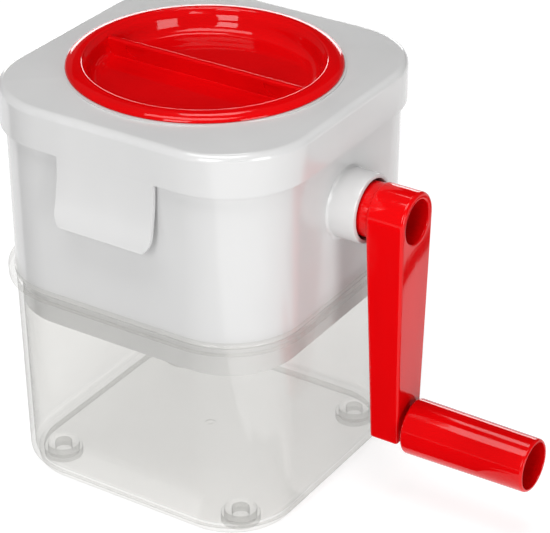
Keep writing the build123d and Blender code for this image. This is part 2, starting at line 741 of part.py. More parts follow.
# Spacers between the claws and at both ends of the rotor
spacer_ends = [(hex_low_x, claw_x[0] - claw_thickness / 2)]
for a, b in zip(claw_x, claw_x[1:]):
    spacer_ends.append((a + claw_thickness / 2, b - claw_thickness / 2))
spacer_ends.append((claw_x[-1] + claw_thickness / 2, hex_high_x))
for i, (a, b) in enumerate(spacer_ends):
    with BuildPart() as spacer:
        with BuildSketch(Plane.YZ.offset(a)):
            with Locations((0, shaft_z)):
                Circle(spacer_radius)
                RegularPolygon(hex_inner_radius + hex_clearance, 6, major_radius=False, mode=Mode.SUBTRACT)
        extrude(amount=b - a)
    spacer.part.label = "spacer_" + str(i + 1)
    export_step(spacer.part, "parts/spacer_" + str(i + 1) + ".step")

# ------------------------------------------------------------------ crank arm
with BuildPart() as arm_side:
    # the arm seen from the front: deep at the boss, slimmer at the grip
    with BuildSketch(Plane.XZ.offset(-2 * arm_boss_radius)):
        with BuildLine():
            Polyline(
                (arm_x, shaft_z + 2 * arm_boss_radius),
                (arm_face_x, shaft_z + 2 * arm_boss_radius),
                (arm_face_x, shaft_z - arm_boss_radius),
                (arm_foot_face_x, grip_z),
                (arm_foot_face_x, arm_foot_z),
                (arm_foot_face_x - arm_depth_foot, arm_foot_z),
                (arm_foot_face_x - arm_depth_foot, grip_z),
                (arm_x, shaft_z - arm_boss_radius),
                close=True,
            )
        make_face()
    extrude(amount=4 * arm_boss_radius)
with BuildPart() as crank_arm:
    with BuildSketch(Plane.YZ.offset(arm_x)):
        with Locations((0, shaft_z)):
            Circle(arm_boss_radius)
        with Locations((0, arm_foot_z + 1)):
            Rectangle(2 * arm_foot_half, 2)
        make_hull()
    extrude(amount=arm_depth_top)
    add(arm_side.part, mode=Mode.INTERSECT)
    outer_edges = crank_arm.edges().filter_by(
        lambda e: e.center().X > arm_foot_face_x - eps and e.center().X < arm_face_x + eps
    )
    fillet(outer_edges, radius=arm_edge)
    # hub that runs in the collar
    with BuildSketch(Plane.YZ.offset(hub_x)):
        with Locations((0, shaft_z)):
            Circle(hub_neck_radius)
    extrude(amount=arm_x - hub_x + 1)
    # seat of the grip
    with BuildSketch(Plane.YZ.offset(arm_foot_face_x - 1)):
        with Locations((0, grip_z)):
            Circle(grip_seat_radius)
    extrude(amount=grip_seat_height + 1)
    # open bore in the face of the boss
    with BuildSketch(Plane.YZ.offset(bore_floor_x)):
        with Locations((0, shaft_z)):
            Circle(boss_bore_radius)
    extrude(amount=2 * boss_bore_depth, mode=Mode.SUBTRACT)
    # socket with two flats for the shaft, and the screw hole behind it
    with BuildSketch(Plane.YZ.offset(hub_x)):
        with Locations((0, shaft_z)):
            Circle(journal_radius + thread_clearance)
        for side in (-1, 1):
            with Locations((0, shaft_z + side * (shaft_flat_half + thread_clearance + journal_radius))):
                Rectangle(4 * journal_radius, 2 * journal_radius, mode=Mode.SUBTRACT)
    extrude(amount=shaft_end_x + 0.3 - hub_x, mode=Mode.SUBTRACT)
    with BuildSketch(Plane.YZ.offset(hub_x)):
        with Locations((0, shaft_z)):
            Circle(crank_screw_radius + screw_clearance)
    extrude(amount=bore_floor_x - hub_x + eps, mode=Mode.SUBTRACT)
    # hole for the stem of the grip pin
    with BuildSketch(Plane.YZ.offset(arm_foot_face_x - arm_depth_foot)):
        with Locations((0, grip_z)):
            Circle(grip_pin_stem_radius + thread_clearance)
    extrude(amount=2 * arm_depth_foot, mode=Mode.SUBTRACT)
    # moulding pockets in the hidden inner face, with ribs between them
    pocket_low = grip_z + grip_pin_head_radius + arm_pocket_wall
    pocket_high = shaft_z - arm_boss_radius - arm_pocket_wall
    pocket_count = arm_pocket_ribs + 1
    pocket_step = (pocket_high - pocket_low + arm_rib) / pocket_count
    for i in range(pocket_count):
        z0 = pocket_low + i * pocket_step
        z1 = z0 + pocket_step - arm_rib
        middle = (z0 + z1) / 2
        share = (middle - arm_foot_z) / (shaft_z - arm_foot_z)
        half = arm_foot_half + (arm_boss_radius - arm_foot_half) * share - arm_pocket_wall - 0.3
        with BuildSketch(Plane.YZ.offset(arm_x - 1)):
            with Locations((0, middle)):
                RectangleRounded(2 * half, z1 - z0, 1.5)
        extrude(amount=arm_foot_face_x - arm_pocket_face - arm_x + 1, mode=Mode.SUBTRACT)
crank_arm.part.label = "crank_arm"
export_step(crank_arm.part, "parts/crank_arm.step")

with BuildPart() as crank_washer:
    with BuildSketch(Plane.YZ.offset(bore_floor_x)):
        with Locations((0, shaft_z)):
            Circle(crank_washer_radius)
            Circle(crank_screw_radius + screw_clearance, mode=Mode.SUBTRACT)
    extrude(amount=crank_washer_thickness)
crank_washer.part.label = "crank_washer"
export_step(crank_washer.part, "parts/crank_washer.step")

with BuildPart() as crank_screw:
    screw_seat_x = bore_floor_x + crank_washer_thickness
    with BuildSketch(Plane.YZ.offset(screw_seat_x)):
        with Locations((0, shaft_z)):
            Circle(crank_screw_head_radius)
    extrude(amount=crank_screw_head_height)
    fillet(crank_screw.edges().group_by(Axis.X)[-1], radius=crank_screw_head_height * 0.35)
    with BuildSketch(Plane.YZ.offset(screw_seat_x)):
        with Locations((0, shaft_z)):
            Circle(crank_screw_radius)
    extrude(amount=-crank_screw_length)
    with BuildSketch(Plane.YZ.offset(screw_seat_x + crank_screw_head_height)):
        with Locations((0, shaft_z)):
            Rectangle(crank_screw_head_radius * 1.2, crank_screw_head_radius * 0.28)
            Rectangle(crank_screw_head_radius * 0.28, crank_screw_head_radius * 1.2)
    extrude(amount=-crank_screw_head_height * 0.55, mode=Mode.SUBTRACT)
crank_screw.part.label = "crank_screw"
export_step(crank_screw.part, "parts/crank_screw.step")

# ------------------------------------------------------------------ grip
with BuildPart() as crank_grip:
    with BuildSketch(Plane.XZ):
        with BuildLine():
            Polyline(
                (grip_x, grip_z),
                (grip_x, grip_z + grip_inner_end_radius),
                (grip_end_x, grip_z + grip_outer_end_radius),
                (grip_end_x, grip_z),
                close=True,
            )
        make_face()
    revolve(axis=Axis((0, 0, grip_z), (1, 0, 0)))
    fillet(crank_grip.edges().filter_by(GeomType.CIRCLE), radius=grip_edge)
    # open hollow from the outer end
    with BuildSketch(Plane.YZ.offset(grip_x + grip_web)):
        with Locations((0, grip_z)):
            Circle(grip_outer_end_radius - grip_wall)
    extrude(amount=grip_length, mode=Mode.SUBTRACT)
    # bore that turns on the pin
    with BuildSketch(Plane.YZ.offset(grip_x - 1)):
        with Locations((0, grip_z)):
            Circle(grip_pin_radius + running_clearance)
    extrude(amount=grip_web + 2, mode=Mode.SUBTRACT)
crank_grip.part.label = "crank_grip"
export_step(crank_grip.part, "parts/crank_grip.step")

with BuildPart() as grip_pin:
    with BuildSketch(Plane.YZ.offset(arm_foot_face_x - arm_depth_foot + 1)):
        with Locations((0, grip_z)):
            Circle(grip_pin_stem_radius)
    extrude(amount=arm_depth_foot + grip_seat_height - 1)
    with BuildSketch(Plane.YZ.offset(seat_x)):
        with Locations((0, grip_z)):
            Circle(grip_pin_radius)
    extrude(amount=grip_web + 2 * grip_end_gap)
    head_x = seat_x + grip_web + 2 * grip_end_gap
    with BuildSketch(Plane.YZ.offset(head_x)):
        with Locations((0, grip_z)):
            Circle(grip_pin_head_radius)
    extrude(amount=grip_pin_head_height)
    fillet(grip_pin.edges().group_by(Axis.X)[-1], radius=grip_pin_head_height * 0.45)
grip_pin.part.label = "grip_pin"
export_step(grip_pin.part, "parts/grip_pin.step")
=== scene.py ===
"""Side crank ice shaver: clear bin, white housing and cover, red lid, crank and grip.

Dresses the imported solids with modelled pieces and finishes. Metres, +Z up, +X towards the crank.
"""

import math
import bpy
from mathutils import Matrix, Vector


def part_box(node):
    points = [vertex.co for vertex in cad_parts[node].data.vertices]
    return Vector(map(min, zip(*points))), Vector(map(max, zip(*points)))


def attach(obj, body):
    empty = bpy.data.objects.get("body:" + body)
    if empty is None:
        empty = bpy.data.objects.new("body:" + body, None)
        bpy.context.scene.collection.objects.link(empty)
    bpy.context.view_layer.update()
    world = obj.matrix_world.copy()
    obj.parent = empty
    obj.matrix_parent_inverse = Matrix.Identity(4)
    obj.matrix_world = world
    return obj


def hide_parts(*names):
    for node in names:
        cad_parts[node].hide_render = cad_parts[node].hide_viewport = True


bl_info = {
    "name": "Side Crank Ice Shaver",
    "version": (1, 0, 0),
    "blender": (4, 5, 0),
    "location": "3D View > Sidebar > Ice Shaver",
    "description": "Models and finishes a hand cranked ice shaver on its CAD frame",
    "category": "Object",
}

import bmesh
import bpy
from bpy.props import FloatProperty, FloatVectorProperty, IntProperty, PointerProperty
from mathutils import Vector

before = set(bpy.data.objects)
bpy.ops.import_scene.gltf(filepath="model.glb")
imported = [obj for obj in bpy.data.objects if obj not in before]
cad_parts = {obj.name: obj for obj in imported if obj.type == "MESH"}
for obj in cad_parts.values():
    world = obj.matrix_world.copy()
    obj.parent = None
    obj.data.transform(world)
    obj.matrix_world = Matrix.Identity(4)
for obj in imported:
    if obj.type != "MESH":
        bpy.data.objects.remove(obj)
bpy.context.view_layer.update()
BIN_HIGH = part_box("ice_bin")[1]
HOUSING_LOW, HOUSING_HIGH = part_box("housing")
COVER_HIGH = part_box("cover")[1]
LID_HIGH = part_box("lid")[1]
GRIP_LOW, GRIP_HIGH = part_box("crank_grip")
SHAFT_LOW, SHAFT_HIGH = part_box("drive_shaft")
SHAFT_Z = (SHAFT_LOW.z + SHAFT_HIGH.z) / 2
GRIP_Z = (GRIP_LOW.z + GRIP_HIGH.z) / 2
HAIR = 0.00001  # two places closer than this count as one
PAST = 0.01  # how far a cutter reaches out past the piece it cuts
ARC = ((0.08, 0.62), (0.29, 0.29), (0.62, 0.08))  # a quarter round's points, as shares of its radius
FINE_STEPS = 35  # steps of a stack for the large round forms
FINE_SIDES = 4 * (FINE_STEPS + 1)  # and the sides of their round cuts


# ---------------------------------------------------------------- sizes and colours
def length(name, description, default):
    """A length in metres that the user may change."""
    return FloatProperty(
        name=name,
        description=description,
        default=default,
        unit="LENGTH",
        subtype="DISTANCE",
        precision=5,
    )


def tint(name, description, default):
    """A linear colour that the user may change."""
    return FloatVectorProperty(
        name=name,
        description=description,
        default=default,
        subtype="COLOR",
        size=3,
        min=0.0,
        max=1.0,
    )


def power(name, description, default):
    """The power of a light, which the user may change."""
    return FloatProperty(name=name, description=description, default=default, subtype="POWER")


def number(name, description, default, low):
    """A plain number that the user may change."""
    return FloatProperty(name=name, description=description, default=default, min=low)


class BinSizes(bpy.types.PropertyGroup):
    """Sizes of the clear bin."""

    foot_half: length("Foot half width", "Half the width of the walls at the foot", 0.0579)
    foot_corner: length("Foot corner", "Corner radius of the walls at the foot", 0.0278)
    top_half: length("Top half width", "Half the width of the walls under the rim", 0.0595)
    top_corner: length("Top corner", "Corner radius of the walls under the rim", 0.0294)
    wall: length("Wall", "Thickness of the walls", 0.0018)
    floor: length("Floor", "Thickness of the floor", 0.0017)
    ring_half: length("Base ring half width", "Half the width of the base ring", 0.0546)
    ring_corner: length("Base ring corner", "Corner radius of the base ring", 0.024)
    ring_height: length("Base ring height", "Height of the base ring", 0.0034)
    rim_half: length("Rim half width", "Half the width of the rim band", BIN_HIGH.x)
    rim_corner: length("Rim corner", "Corner radius of the rim band", 0.032)
    rim_wall: length("Rim wall", "Thickness of the rim band", 0.0024)
    rim_depth: length("Rim depth", "Depth of the seat inside the rim", 0.0028)
    ledge: length("Ledge", "Thickness of the ledge under the rim", 0.0016)
    foot_place: length("Foot place", "Distance of each foot from the middle lines", 0.041)
    foot_radius: length("Foot radius", "Outer radius of a foot", 0.0074)
    foot_wall: length("Foot wall", "Wall of a foot", 0.0012)
    post_radius: length("Post radius", "Radius of the post in a foot", 0.0033)
    foot_sole: length("Foot sole", "Thickness of the bottom of a foot", 0.001)
    foot_bevel: length("Foot bevel", "Bevel of the walls where they meet the base ring", 0.0012)
    soft_edge: length("Soft edge", "Radius of the shell's edges", 0.0005)
    gate_radius: length("Gate radius", "Radius of the round mark left by the mould's gate", 0.0022)
    gate_rise: length("Gate rise", "Height of the gate mark over the floor", 0.0004)


class HousingSizes(bpy.types.PropertyGroup):
    """Sizes of the white housing and its collar."""

    foot_half: length("Foot half width", "Half the width at the shoulder", 0.0595)
    top_half: length("Top half width", "Half the width at the top", 0.05995)
    corner: length("Corner", "Corner radius of the walls", 0.0292)
    wall: length("Wall", "Thickness of the walls", 0.002)
    spigot_half: length("Spigot half width", "Half the width of the part inside the bin", 0.0573)
    spigot_corner: length("Spigot corner", "Corner radius of the part inside the bin", 0.0272)
    spigot_height: length("Spigot height", "How far the housing reaches down into the bin", 0.0124)
    web: length("Shoulder web", "Thickness of the step at the shoulder", 0.0022)
    collar_radius: length("Collar radius", "Outer radius of the collar", 0.013)
    collar_bore: length("Collar bore", "Radius of the collar's opening", 0.0112)
    collar_floor: length("Collar floor", "Distance of the collar's floor from the middle", 0.06233)
    boss_radius: length("Boss radius", "Radius of the boss inside the wall", 0.0125)
    boss_end: length("Boss end", "Distance of the boss's end from the middle", 0.05483)
    bush_radius: length("Bush radius", "Radius of the hole for the bush", 0.0075)
    root_fillet: length("Root fillet", "Radius where the collar leaves the wall", 0.0012)
    soft_edge: length("Soft edge", "Radius of the shell's edges", 0.0005)
    pillar_place: length("Pillar place", "Distance of the screw pillars from the middle lines", 0.0472)
    pillar_radius: length("Pillar radius", "Radius of a screw pillar", 0.0044)
    pillar_hole: length("Pillar hole", "Radius of the hole in a screw pillar", 0.00163)


class CoverSizes(bpy.types.PropertyGroup):
    """Sizes of the white cover and its tab."""

    half: length("Half width", "Half the width of the cover", COVER_HIGH.x)
    corner: length("Corner", "Corner radius of the cover", 0.033)
    wall: length("Wall", "Thickness of the skirt", 0.0018)
    skirt: length("Skirt", "Depth of the skirt", 0.0132)
    edge: length("Edge", "Thickness of the top at its edge", 0.0023)
    slope: number("Slope", "Rise of the hipped top for each unit inwards", 0.05, 0.0)
    edge_fillet: length("Edge fillet", "Radius of the top edge", 0.0026)
    seat_radius: length("Seat radius", "Radius of the lid's flat seat", 0.0512)
    seat_rise: length("Seat rise", "Height of the seat above the top's edge", 0.0012)
    opening: length("Opening", "Radius of the opening under the lid", 0.0435)
    tab_half: length("Tab half width", "Half the width of the tab", 0.0206)
    tab_drop: length("Tab drop", "How far the tab hangs below the skirt", 0.026)
    tab_flare: length("Tab flare", "How far the tab's lower edge stands out", 0.0042)
    tab_thickness: length("Tab thickness", "Thickness of the tab", 0.0016)
    tab_corner: length("Tab corner", "Radius of the tab's lower corners", 0.007)
    soft_edge: length("Soft edge", "Radius of the edges below, at the seat and round the tab", 0.0003)


class LidSizes(bpy.types.PropertyGroup):
    """Sizes of the red lid."""

    radius: length("Radius", "Radius of the lid", 0.0504)
    ridge_radius: length("Ridge radius", "Radius of the raised ring", 0.045)
    ridge_rise: length("Ridge rise", "Height of the raised ring above the seat", 0.0027)
    dish_depth: length("Dish depth", "Depth of the dish below the seat", 0.006)
    floor_radius: length("Floor radius", "Radius of the dish's floor", 0.0419)
    floor_fillet: length("Floor fillet", "Radius between the floor and the wall", 0.0042)
    wall: length("Wall", "Thickness of the floor", 0.0022)
    plug_radius: length("Plug radius", "Radius of the part in the opening", 0.0431)
    bar_rise: length("Bar rise", "Height of the grip bar over the floor", 0.0065)
    bar_thickness: length("Bar thickness", "Thickness of the grip bar", 0.0028)
    mark_place: length("Mark place", "Distance of the finger marks from the middle", 0.03)
    mark_radius: length("Mark radius", "Radius of the finger marks", 0.0042)
    mark_depth: length("Mark depth", "Depth of the finger marks", 0.0004)
    mark_drop: length("Mark drop", "Distance of the finger marks' middle below the bar's top", 0.0014)
    bar_root: length("Bar root", "Radius where the bar leaves the dish's floor", 0.0015)


class CrankSizes(bpy.types.PropertyGroup):
    """Sizes of the crank arm and the turning grip."""

    arm_x: length("Arm place", "Distance of the arm's inner face from the middle", 0.07413)
    depth_top: length("Depth at boss", "Depth of the arm at the boss", 0.0152)
    depth_foot: length("Depth at foot", "Depth of the arm at the grip", 0.0118)
    face_lean: length("Face lean", "How far the outer face leans in towards the grip", 0.0011)
    boss_radius: length("Boss radius", "Radius of the boss", 0.011)
    foot_half: length("Foot half width", "Half the width of the arm's foot", 0.0083)
    below_grip: length("Below grip", "How far the arm reaches below the grip's middle", 0.0054)
    edge: length("Edge", "Radius of the arm's edges", 0.0013)
    bore: length("Boss bore", "Radius of the open bore in the boss", 0.0083)
    bore_depth: length("Bore depth", "Depth of the open bore", 0.011)
    neck_radius: length("Neck radius", "Radius of the hub in the collar", 0.0103)
    neck_x: length("Neck place", "Distance of the hub's end from the middle", 0.06293)
    socket: length("Socket", "Radius of the shaft's socket", 0.0041)
    seat_radius: length("Grip seat radius", "Radius of the seat under the grip", 0.004)
    pin_radius: length("Pin radius", "Radius of the hole for the grip's pin", 0.00253)
    screw_radius: length("Screw radius", "Radius of the hole for the boss's screw", 0.00215)
    mouth_edge: length("Mouth edge", "Radius of the edge of the open bore", 0.0007)
    pocket_start: length("Pocket start", "Distance of the pockets from the grip's middle", 0.0068)
    pocket_corner: length("Pocket corner", "Corner radius of the moulding pockets", 0.0015)
    pocket_wall: length("Pocket wall", "Wall round the moulding pockets", 0.0024)
    pocket_face: length("Pocket face", "Thickness of the face over the pockets", 0.0032)
    rib: length("Rib", "Thickness of the ribs between the pockets", 0.002)
    grip_inner: length("Grip inner end", "Radius of the grip beside the arm", 0.0106)
    grip_outer: length("Grip outer end", "Radius of the grip at its outer end", 0.0101)
    grip_wall: length("Grip wall", "Wall of the hollow grip", 0.0014)
    grip_web: length("Grip web", "Thickness of the grip's inner end", 0.0088)
    grip_bore: length("Grip bore", "Radius of the hole that turns on the pin", 0.00406)
    grip_edge: length("Grip edge", "Radius of the grip's ends", 0.0011)


class Finishes(bpy.types.PropertyGroup):
    """Colours of the finishes."""

    white: tint("White plastic", "Moulded white plastic", (0.61, 0.608, 0.606))
    white_shade: tint("White plastic, thin", "White plastic where it is thinner", (0.575, 0.575, 0.574))
    red: tint("Red plastic", "Moulded red plastic", (0.67, 0.0012, 0.0024))
    red_deep: tint("Red plastic, deep", "Red plastic where the flow lines run", (0.56, 0.0008, 0.0018))
    clear: tint("Clear plastic", "Milky clear plastic", (0.93, 0.935, 0.925))
    clear_haze: tint("Clear plastic haze", "The milky haze in the clear plastic", (0.80, 0.80, 0.785))
    steel: tint("Steel", "Bright steel", (0.63, 0.635, 0.64))
    steel_dark: tint("Steel, dark", "Steel along its grain lines", (0.46, 0.46, 0.47))
    bush: tint("Bush plastic", "Grey bearing plastic", (0.30, 0.31, 0.32))
    floor: tint("Floor", "Pale studio floor", (0.50, 0.50, 0.50))


class StudioSetup(bpy.types.PropertyGroup):
    """Camera, floor and lights."""

    camera_place: FloatVectorProperty(
        name="Camera",
        description="Place of the camera",
        default=(0.4395, -0.6410, 0.5134),
        subtype="XYZ",
        unit="LENGTH",
    )
    camera_aim: FloatVectorProperty(
        name="Aim",
        description="Direction in which the camera looks",
        default=(-0.469, 0.734, -0.491),
        subtype="XYZ",
    )
    lens: number("Lens", "Focal length in millimetres", 154.7, 10.0)
    floor_size: length("Floor size", "Width of the floor", 14.0)
    sky: number("Room light", "Strength of the even room light", 0.12, 0.0)
    floor_glow: number("Floor glow", "Strength of the floor's own even glow", 0.68, 0.0)
    key: power("Key light", "Power of the main light, in front", 5.8)
    fill: power("Fill light", "Power of the light at the right, on the crank's side", 4.3)
    top: power("Top light", "Power of the light overhead", 8.0)
    back: power("Back light", "Power of the small light high behind", 1.5)
    rim: power("Rim light", "Power of the low wide strip behind", 11.0)
    corner_steps: IntProperty(
        name="Corner steps",
        description="Segments in a rounded corner of the housing, the bin and the cover",
        default=18,
        min=4,
    )
    round_steps: IntProperty(
        name="Round steps",
        description="Steps of the round rings of the collar, the arm and the grip",
        default=23,
        min=4,
    )


# ---------------------------------------------------------------- modelling by hand
def clear_selection():
    """Back to object mode with nothing selected."""
    if bpy.context.object and bpy.context.object.mode != "OBJECT":
        bpy.ops.object.mode_set(mode="OBJECT")
    bpy.ops.object.select_all(action="DESELECT")


def take(piece):
    """Makes one object the selected and active one."""
    clear_selection()
    piece.hide_set(False)
    piece.select_set(True)
    bpy.context.view_layer.objects.active = piece


def edit(piece):
    """Opens one object in edit mode with nothing selected."""
    take(piece)
    bpy.ops.object.mode_set(mode="EDIT")
    bpy.ops.mesh.select_mode(type="VERT")
    bpy.ops.mesh.select_all(action="DESELECT")


def leave():
    """Leaves edit mode."""
    bpy.ops.object.mode_set(mode="OBJECT")


def pick(piece, test, kind="VERT"):
    """Selects, in edit mode, the parts that pass a test of their middle and themselves. Gives how many."""
    bpy.ops.mesh.select_mode(type=kind)
    bpy.ops.mesh.select_all(action="DESELECT")
    mesh = bmesh.from_edit_mesh(piece.data)
    parts = {"VERT": mesh.verts, "EDGE": mesh.edges, "FACE": mesh.faces}[kind]
    count = 0
    for part in parts:
        if kind == "VERT":
            here = part.co
        elif kind == "EDGE":
            here = (part.verts[0].co + part.verts[1].co) / 2
        else:
            here = part.calc_center_median()
        if test(here, part):
            part.select_set(True)
            count += 1
    mesh.select_flush_mode()
    bmesh.update_edit_mesh(piece.data)
    return count


def freeze(piece):
    """Puts an object's place, turn and scale into its mesh."""
    take(piece)
    bpy.ops.object.transform_apply(location=True, rotation=True, scale=True)
    return piece


def use_modifier(piece, kind, name, **settings):
    """Adds a modifier, sets it and applies it."""
    take(piece)
    modifier = piece.modifiers.new(name, kind)
    for key, value in settings.items():
        setattr(modifier, key, value)
    bpy.ops.object.modifier_apply(modifier=modifier.name)


def cut(piece, cutter, operation="DIFFERENCE"):
    """Cuts a piece with another mesh, or joins the two, and removes the other."""
    use_modifier(piece, "BOOLEAN", "Cut", operation=operation, solver="EXACT", object=cutter)
    bpy.data.objects.remove(cutter, do_unlink=True)
    if len(piece.data.polygons) == 0:
        raise RuntimeError(piece.name + " was lost in a cut")


def join(piece, other):
    """Joins another object into a piece."""
    take(other)
    piece.select_set(True)
    bpy.context.view_layer.objects.active = piece
    bpy.ops.object.join()


def slice_off(point, outwards):
    """Cuts the mesh in edit mode by a plane, takes off what is beyond it and closes the cut."""
    bpy.ops.mesh.select_all(action="SELECT")
    bpy.ops.mesh.bisect(
        plane_co=point,
        plane_no=outwards,
        use_fill=True,
        clear_outer=True,
        threshold=0.0000001,
    )


def four_spots(reach):
    """The four places at the same distance from both middle lines."""
    return [(x * reach, y * reach) for x in (-1, 1) for y in (-1, 1)]


def outward(piece):
    """Merges doubles and turns all faces outwards."""
    edit(piece)
    bpy.ops.mesh.select_all(action="SELECT")
    bpy.ops.mesh.remove_doubles(threshold=0.000002)
    bpy.ops.mesh.normals_make_consistent(inside=False)
    leave()


def soften(piece, width, segments=3, angle=35.0):
    """Rounds the hard edges of a piece by a bevel, made at a hundred times the size to be exact."""
    larger = 100.0
    piece.scale = (larger, larger, larger)
    freeze(piece)
    use_modifier(
        piece,
        "BEVEL",
        "Soft edges",
        width=width * larger,
        segments=segments,
        limit_method="ANGLE",
        angle_limit=math.radians(angle),
        use_clamp_overlap=True,
        miter_outer="MITER_ARC",
    )
    piece.scale = (1 / larger, 1 / larger, 1 / larger)
    freeze(piece)


def smooth(piece, angle=38.0):
    """Smooth shading with flat faces kept flat."""
    take(piece)
    bpy.ops.object.shade_smooth_by_angle(angle=math.radians(angle))
    use_modifier(piece, "WEIGHTED_NORMAL", "Flat faces", mode="FACE_AREA", weight=60, keep_sharp=True)


def stack(name, rings, steps, axis="Z", closed=False):
    """A skin over a stack of rings, each made as a primitive at its size.

    A ring is ("square", half width, corner radius, height) or ("round", radius, height). A corner
    has as many segments as steps, and a quarter of a round ring has one more. On axis X, the height
    runs along X and the ring's fourth value is the height of its middle. The rings stand well apart
    while they are bridged, and then each one moves to its own place.
    """
    clear_selection()
    count = 4 * (steps + 1)
    apart = 0.05
    heights = [ring[3] if ring[0] == "square" else ring[2] for ring in rings]
    bpy.ops.mesh.primitive_plane_add(size=0.001, location=(0.0, 0.0, 0.0))
    piece = bpy.context.object
    piece.name = name
    piece.data.name = name
    bpy.ops.object.mode_set(mode="EDIT")
    bpy.ops.mesh.select_mode(type="VERT")
    bpy.ops.mesh.select_all(action="SELECT")
    bpy.ops.mesh.delete(type="VERT")
    for level, ring in enumerate(rings):
        if ring[0] == "square":
            bpy.ops.mesh.primitive_plane_add(size=2 * ring[1], location=(0.0, 0.0, level * apart))
            bpy.ops.mesh.bevel(
                offset=ring[2], offset_type="OFFSET", segments=steps, profile=0.5, affect="VERTICES"
            )
        elif axis == "Z":
            turn = (0.0, 0.0, math.pi / count)
            bpy.ops.mesh.primitive_circle_add(
                vertices=count, radius=ring[1], location=(0.0, 0.0, level * apart), rotation=turn
            )
        else:
            turn = (0.0, math.pi / 2, 0.0)
            bpy.ops.mesh.primitive_circle_add(
                vertices=count, radius=ring[1], location=(level * apart, 0.0, ring[3]), rotation=turn
            )
        mesh = bmesh.from_edit_mesh(piece.data)
        tags = mesh.verts.layers.int.get("level") or mesh.verts.layers.int.new("level")
        for vert in mesh.verts:
            if vert.select:
                vert[tags] = level + 1
        bmesh.update_edit_mesh(piece.data)
        if ring[0] == "square":
            bpy.ops.mesh.delete(type="ONLY_FACE")
        bpy.ops.mesh.select_all(action="DESELECT")
    pairs = [(k, k + 1) for k in range(1, len(rings))]
    if closed:
        pairs.append((len(rings), 1))
    for low, high in pairs:
        pick_ring(piece, (low, high))
        bpy.ops.mesh.bridge_edge_loops()
    if not closed:
        for end in (1, len(rings)):
            pick_ring(piece, (end,))
            bpy.ops.mesh.edge_face_add()
    for level, height in enumerate(heights):
        pick_ring(piece, (level + 1,))
        shift = height - level * apart
        bpy.ops.transform.translate(value=(0.0, 0.0, shift) if axis == "Z" else (shift, 0.0, 0.0))
    bpy.ops.mesh.select_all(action="SELECT")
    bpy.ops.mesh.normals_make_consistent(inside=False)
    leave()
    return piece


def pick_ring(piece, levels):
    """Selects, in edit mode, the edges of whole rings of a stack."""
    bpy.ops.mesh.select_mode(type="EDGE")
    bpy.ops.mesh.select_all(action="DESELECT")
    mesh = bmesh.from_edit_mesh(piece.data)
    tags = mesh.verts.layers.int["level"]
    for edge in mesh.edges:
        a, b = edge.verts[0][tags], edge.verts[1][tags]
        if a == b and a in levels:
            edge.select_set(True)
    mesh.select_flush_mode()
    bmesh.update_edit_mesh(piece.data)


def rod(name, radius, start, end, axis="Z", place=(0.0, 0.0), sides=64):
    """A round bar from start to end along an axis, used to cut or to join."""
    clear_selection()
    middle = (start + end) / 2
    if axis == "Z":
        where, turn = (place[0], place[1], middle), (0.0, 0.0, 0.0)
    elif axis == "X":
        where, turn = (middle, place[0], place[1]), (0.0, math.pi / 2, 0.0)
    else:
        where, turn = (place[0], middle, place[1]), (math.pi / 2, 0.0, 0.0)
    bpy.ops.mesh.primitive_cylinder_add(
        vertices=sides, radius=radius, depth=abs(end - start), location=where, rotation=turn
    )
    piece = bpy.context.object
    piece.name = name
    return freeze(piece)


def block(name, low, high):
    """A block between two corners, used to cut or to join."""
    clear_selection()
    low, high = Vector(low), Vector(high)
    bpy.ops.mesh.primitive_cube_add(size=1.0, location=(low + high) / 2, scale=high - low)
    piece = bpy.context.object
    piece.name = name
    return freeze(piece)


def round_edges(piece, test, radius, segments=5):
    """Rounds chosen edges of a piece."""
    edit(piece)
    if pick(piece, test, "EDGE") == 0:
        raise RuntimeError("no edge of " + piece.name + " is where a rounding was asked for")
    bpy.ops.mesh.bevel(
        offset=radius,
        offset_type="OFFSET",
        segments=segments,
        profile=0.5,
        affect="EDGES",
        clamp_overlap=True,
    )
    leave()


def bend_of(edge):
    """Angle between the two faces of an edge, or 0."""
    return edge.calc_face_angle(0.0) if len(edge.link_faces) == 2 else 0.0


def hand_over(piece, body, slot_name, finish, *nodes):
    """Gives a finished piece its body and its finish, and hides the CAD nodes it stands for. The slot's name
    is not used.
    """
    piece.data.materials.clear()
    piece.data.materials.append(finish)
    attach(piece, body)
    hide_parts(*nodes)
    clear_selection()


# ---------------------------------------------------------------- finishes
class Wire:
    """A node's output that can be used in sums."""

    def __init__(self, recipe, socket):
        self.recipe = recipe
        self.socket = socket

    def sum_of(self, operation, first, second):
        return self.recipe.node("ShaderNodeMath", {"operation": operation}, {0: first, 1: second})

    def __add__(self, other):
        return self.sum_of("ADD", self, other)

    def __radd__(self, other):
        return self.sum_of("ADD", other, self)

    def __sub__(self, other):
        return self.sum_of("SUBTRACT", self, other)

    def __rsub__(self, other):
        return self.sum_of("SUBTRACT", other, self)

    def __mul__(self, other):
        return self.sum_of("MULTIPLY", self, other)

    def __rmul__(self, other):
        return self.sum_of("MULTIPLY", other, self)


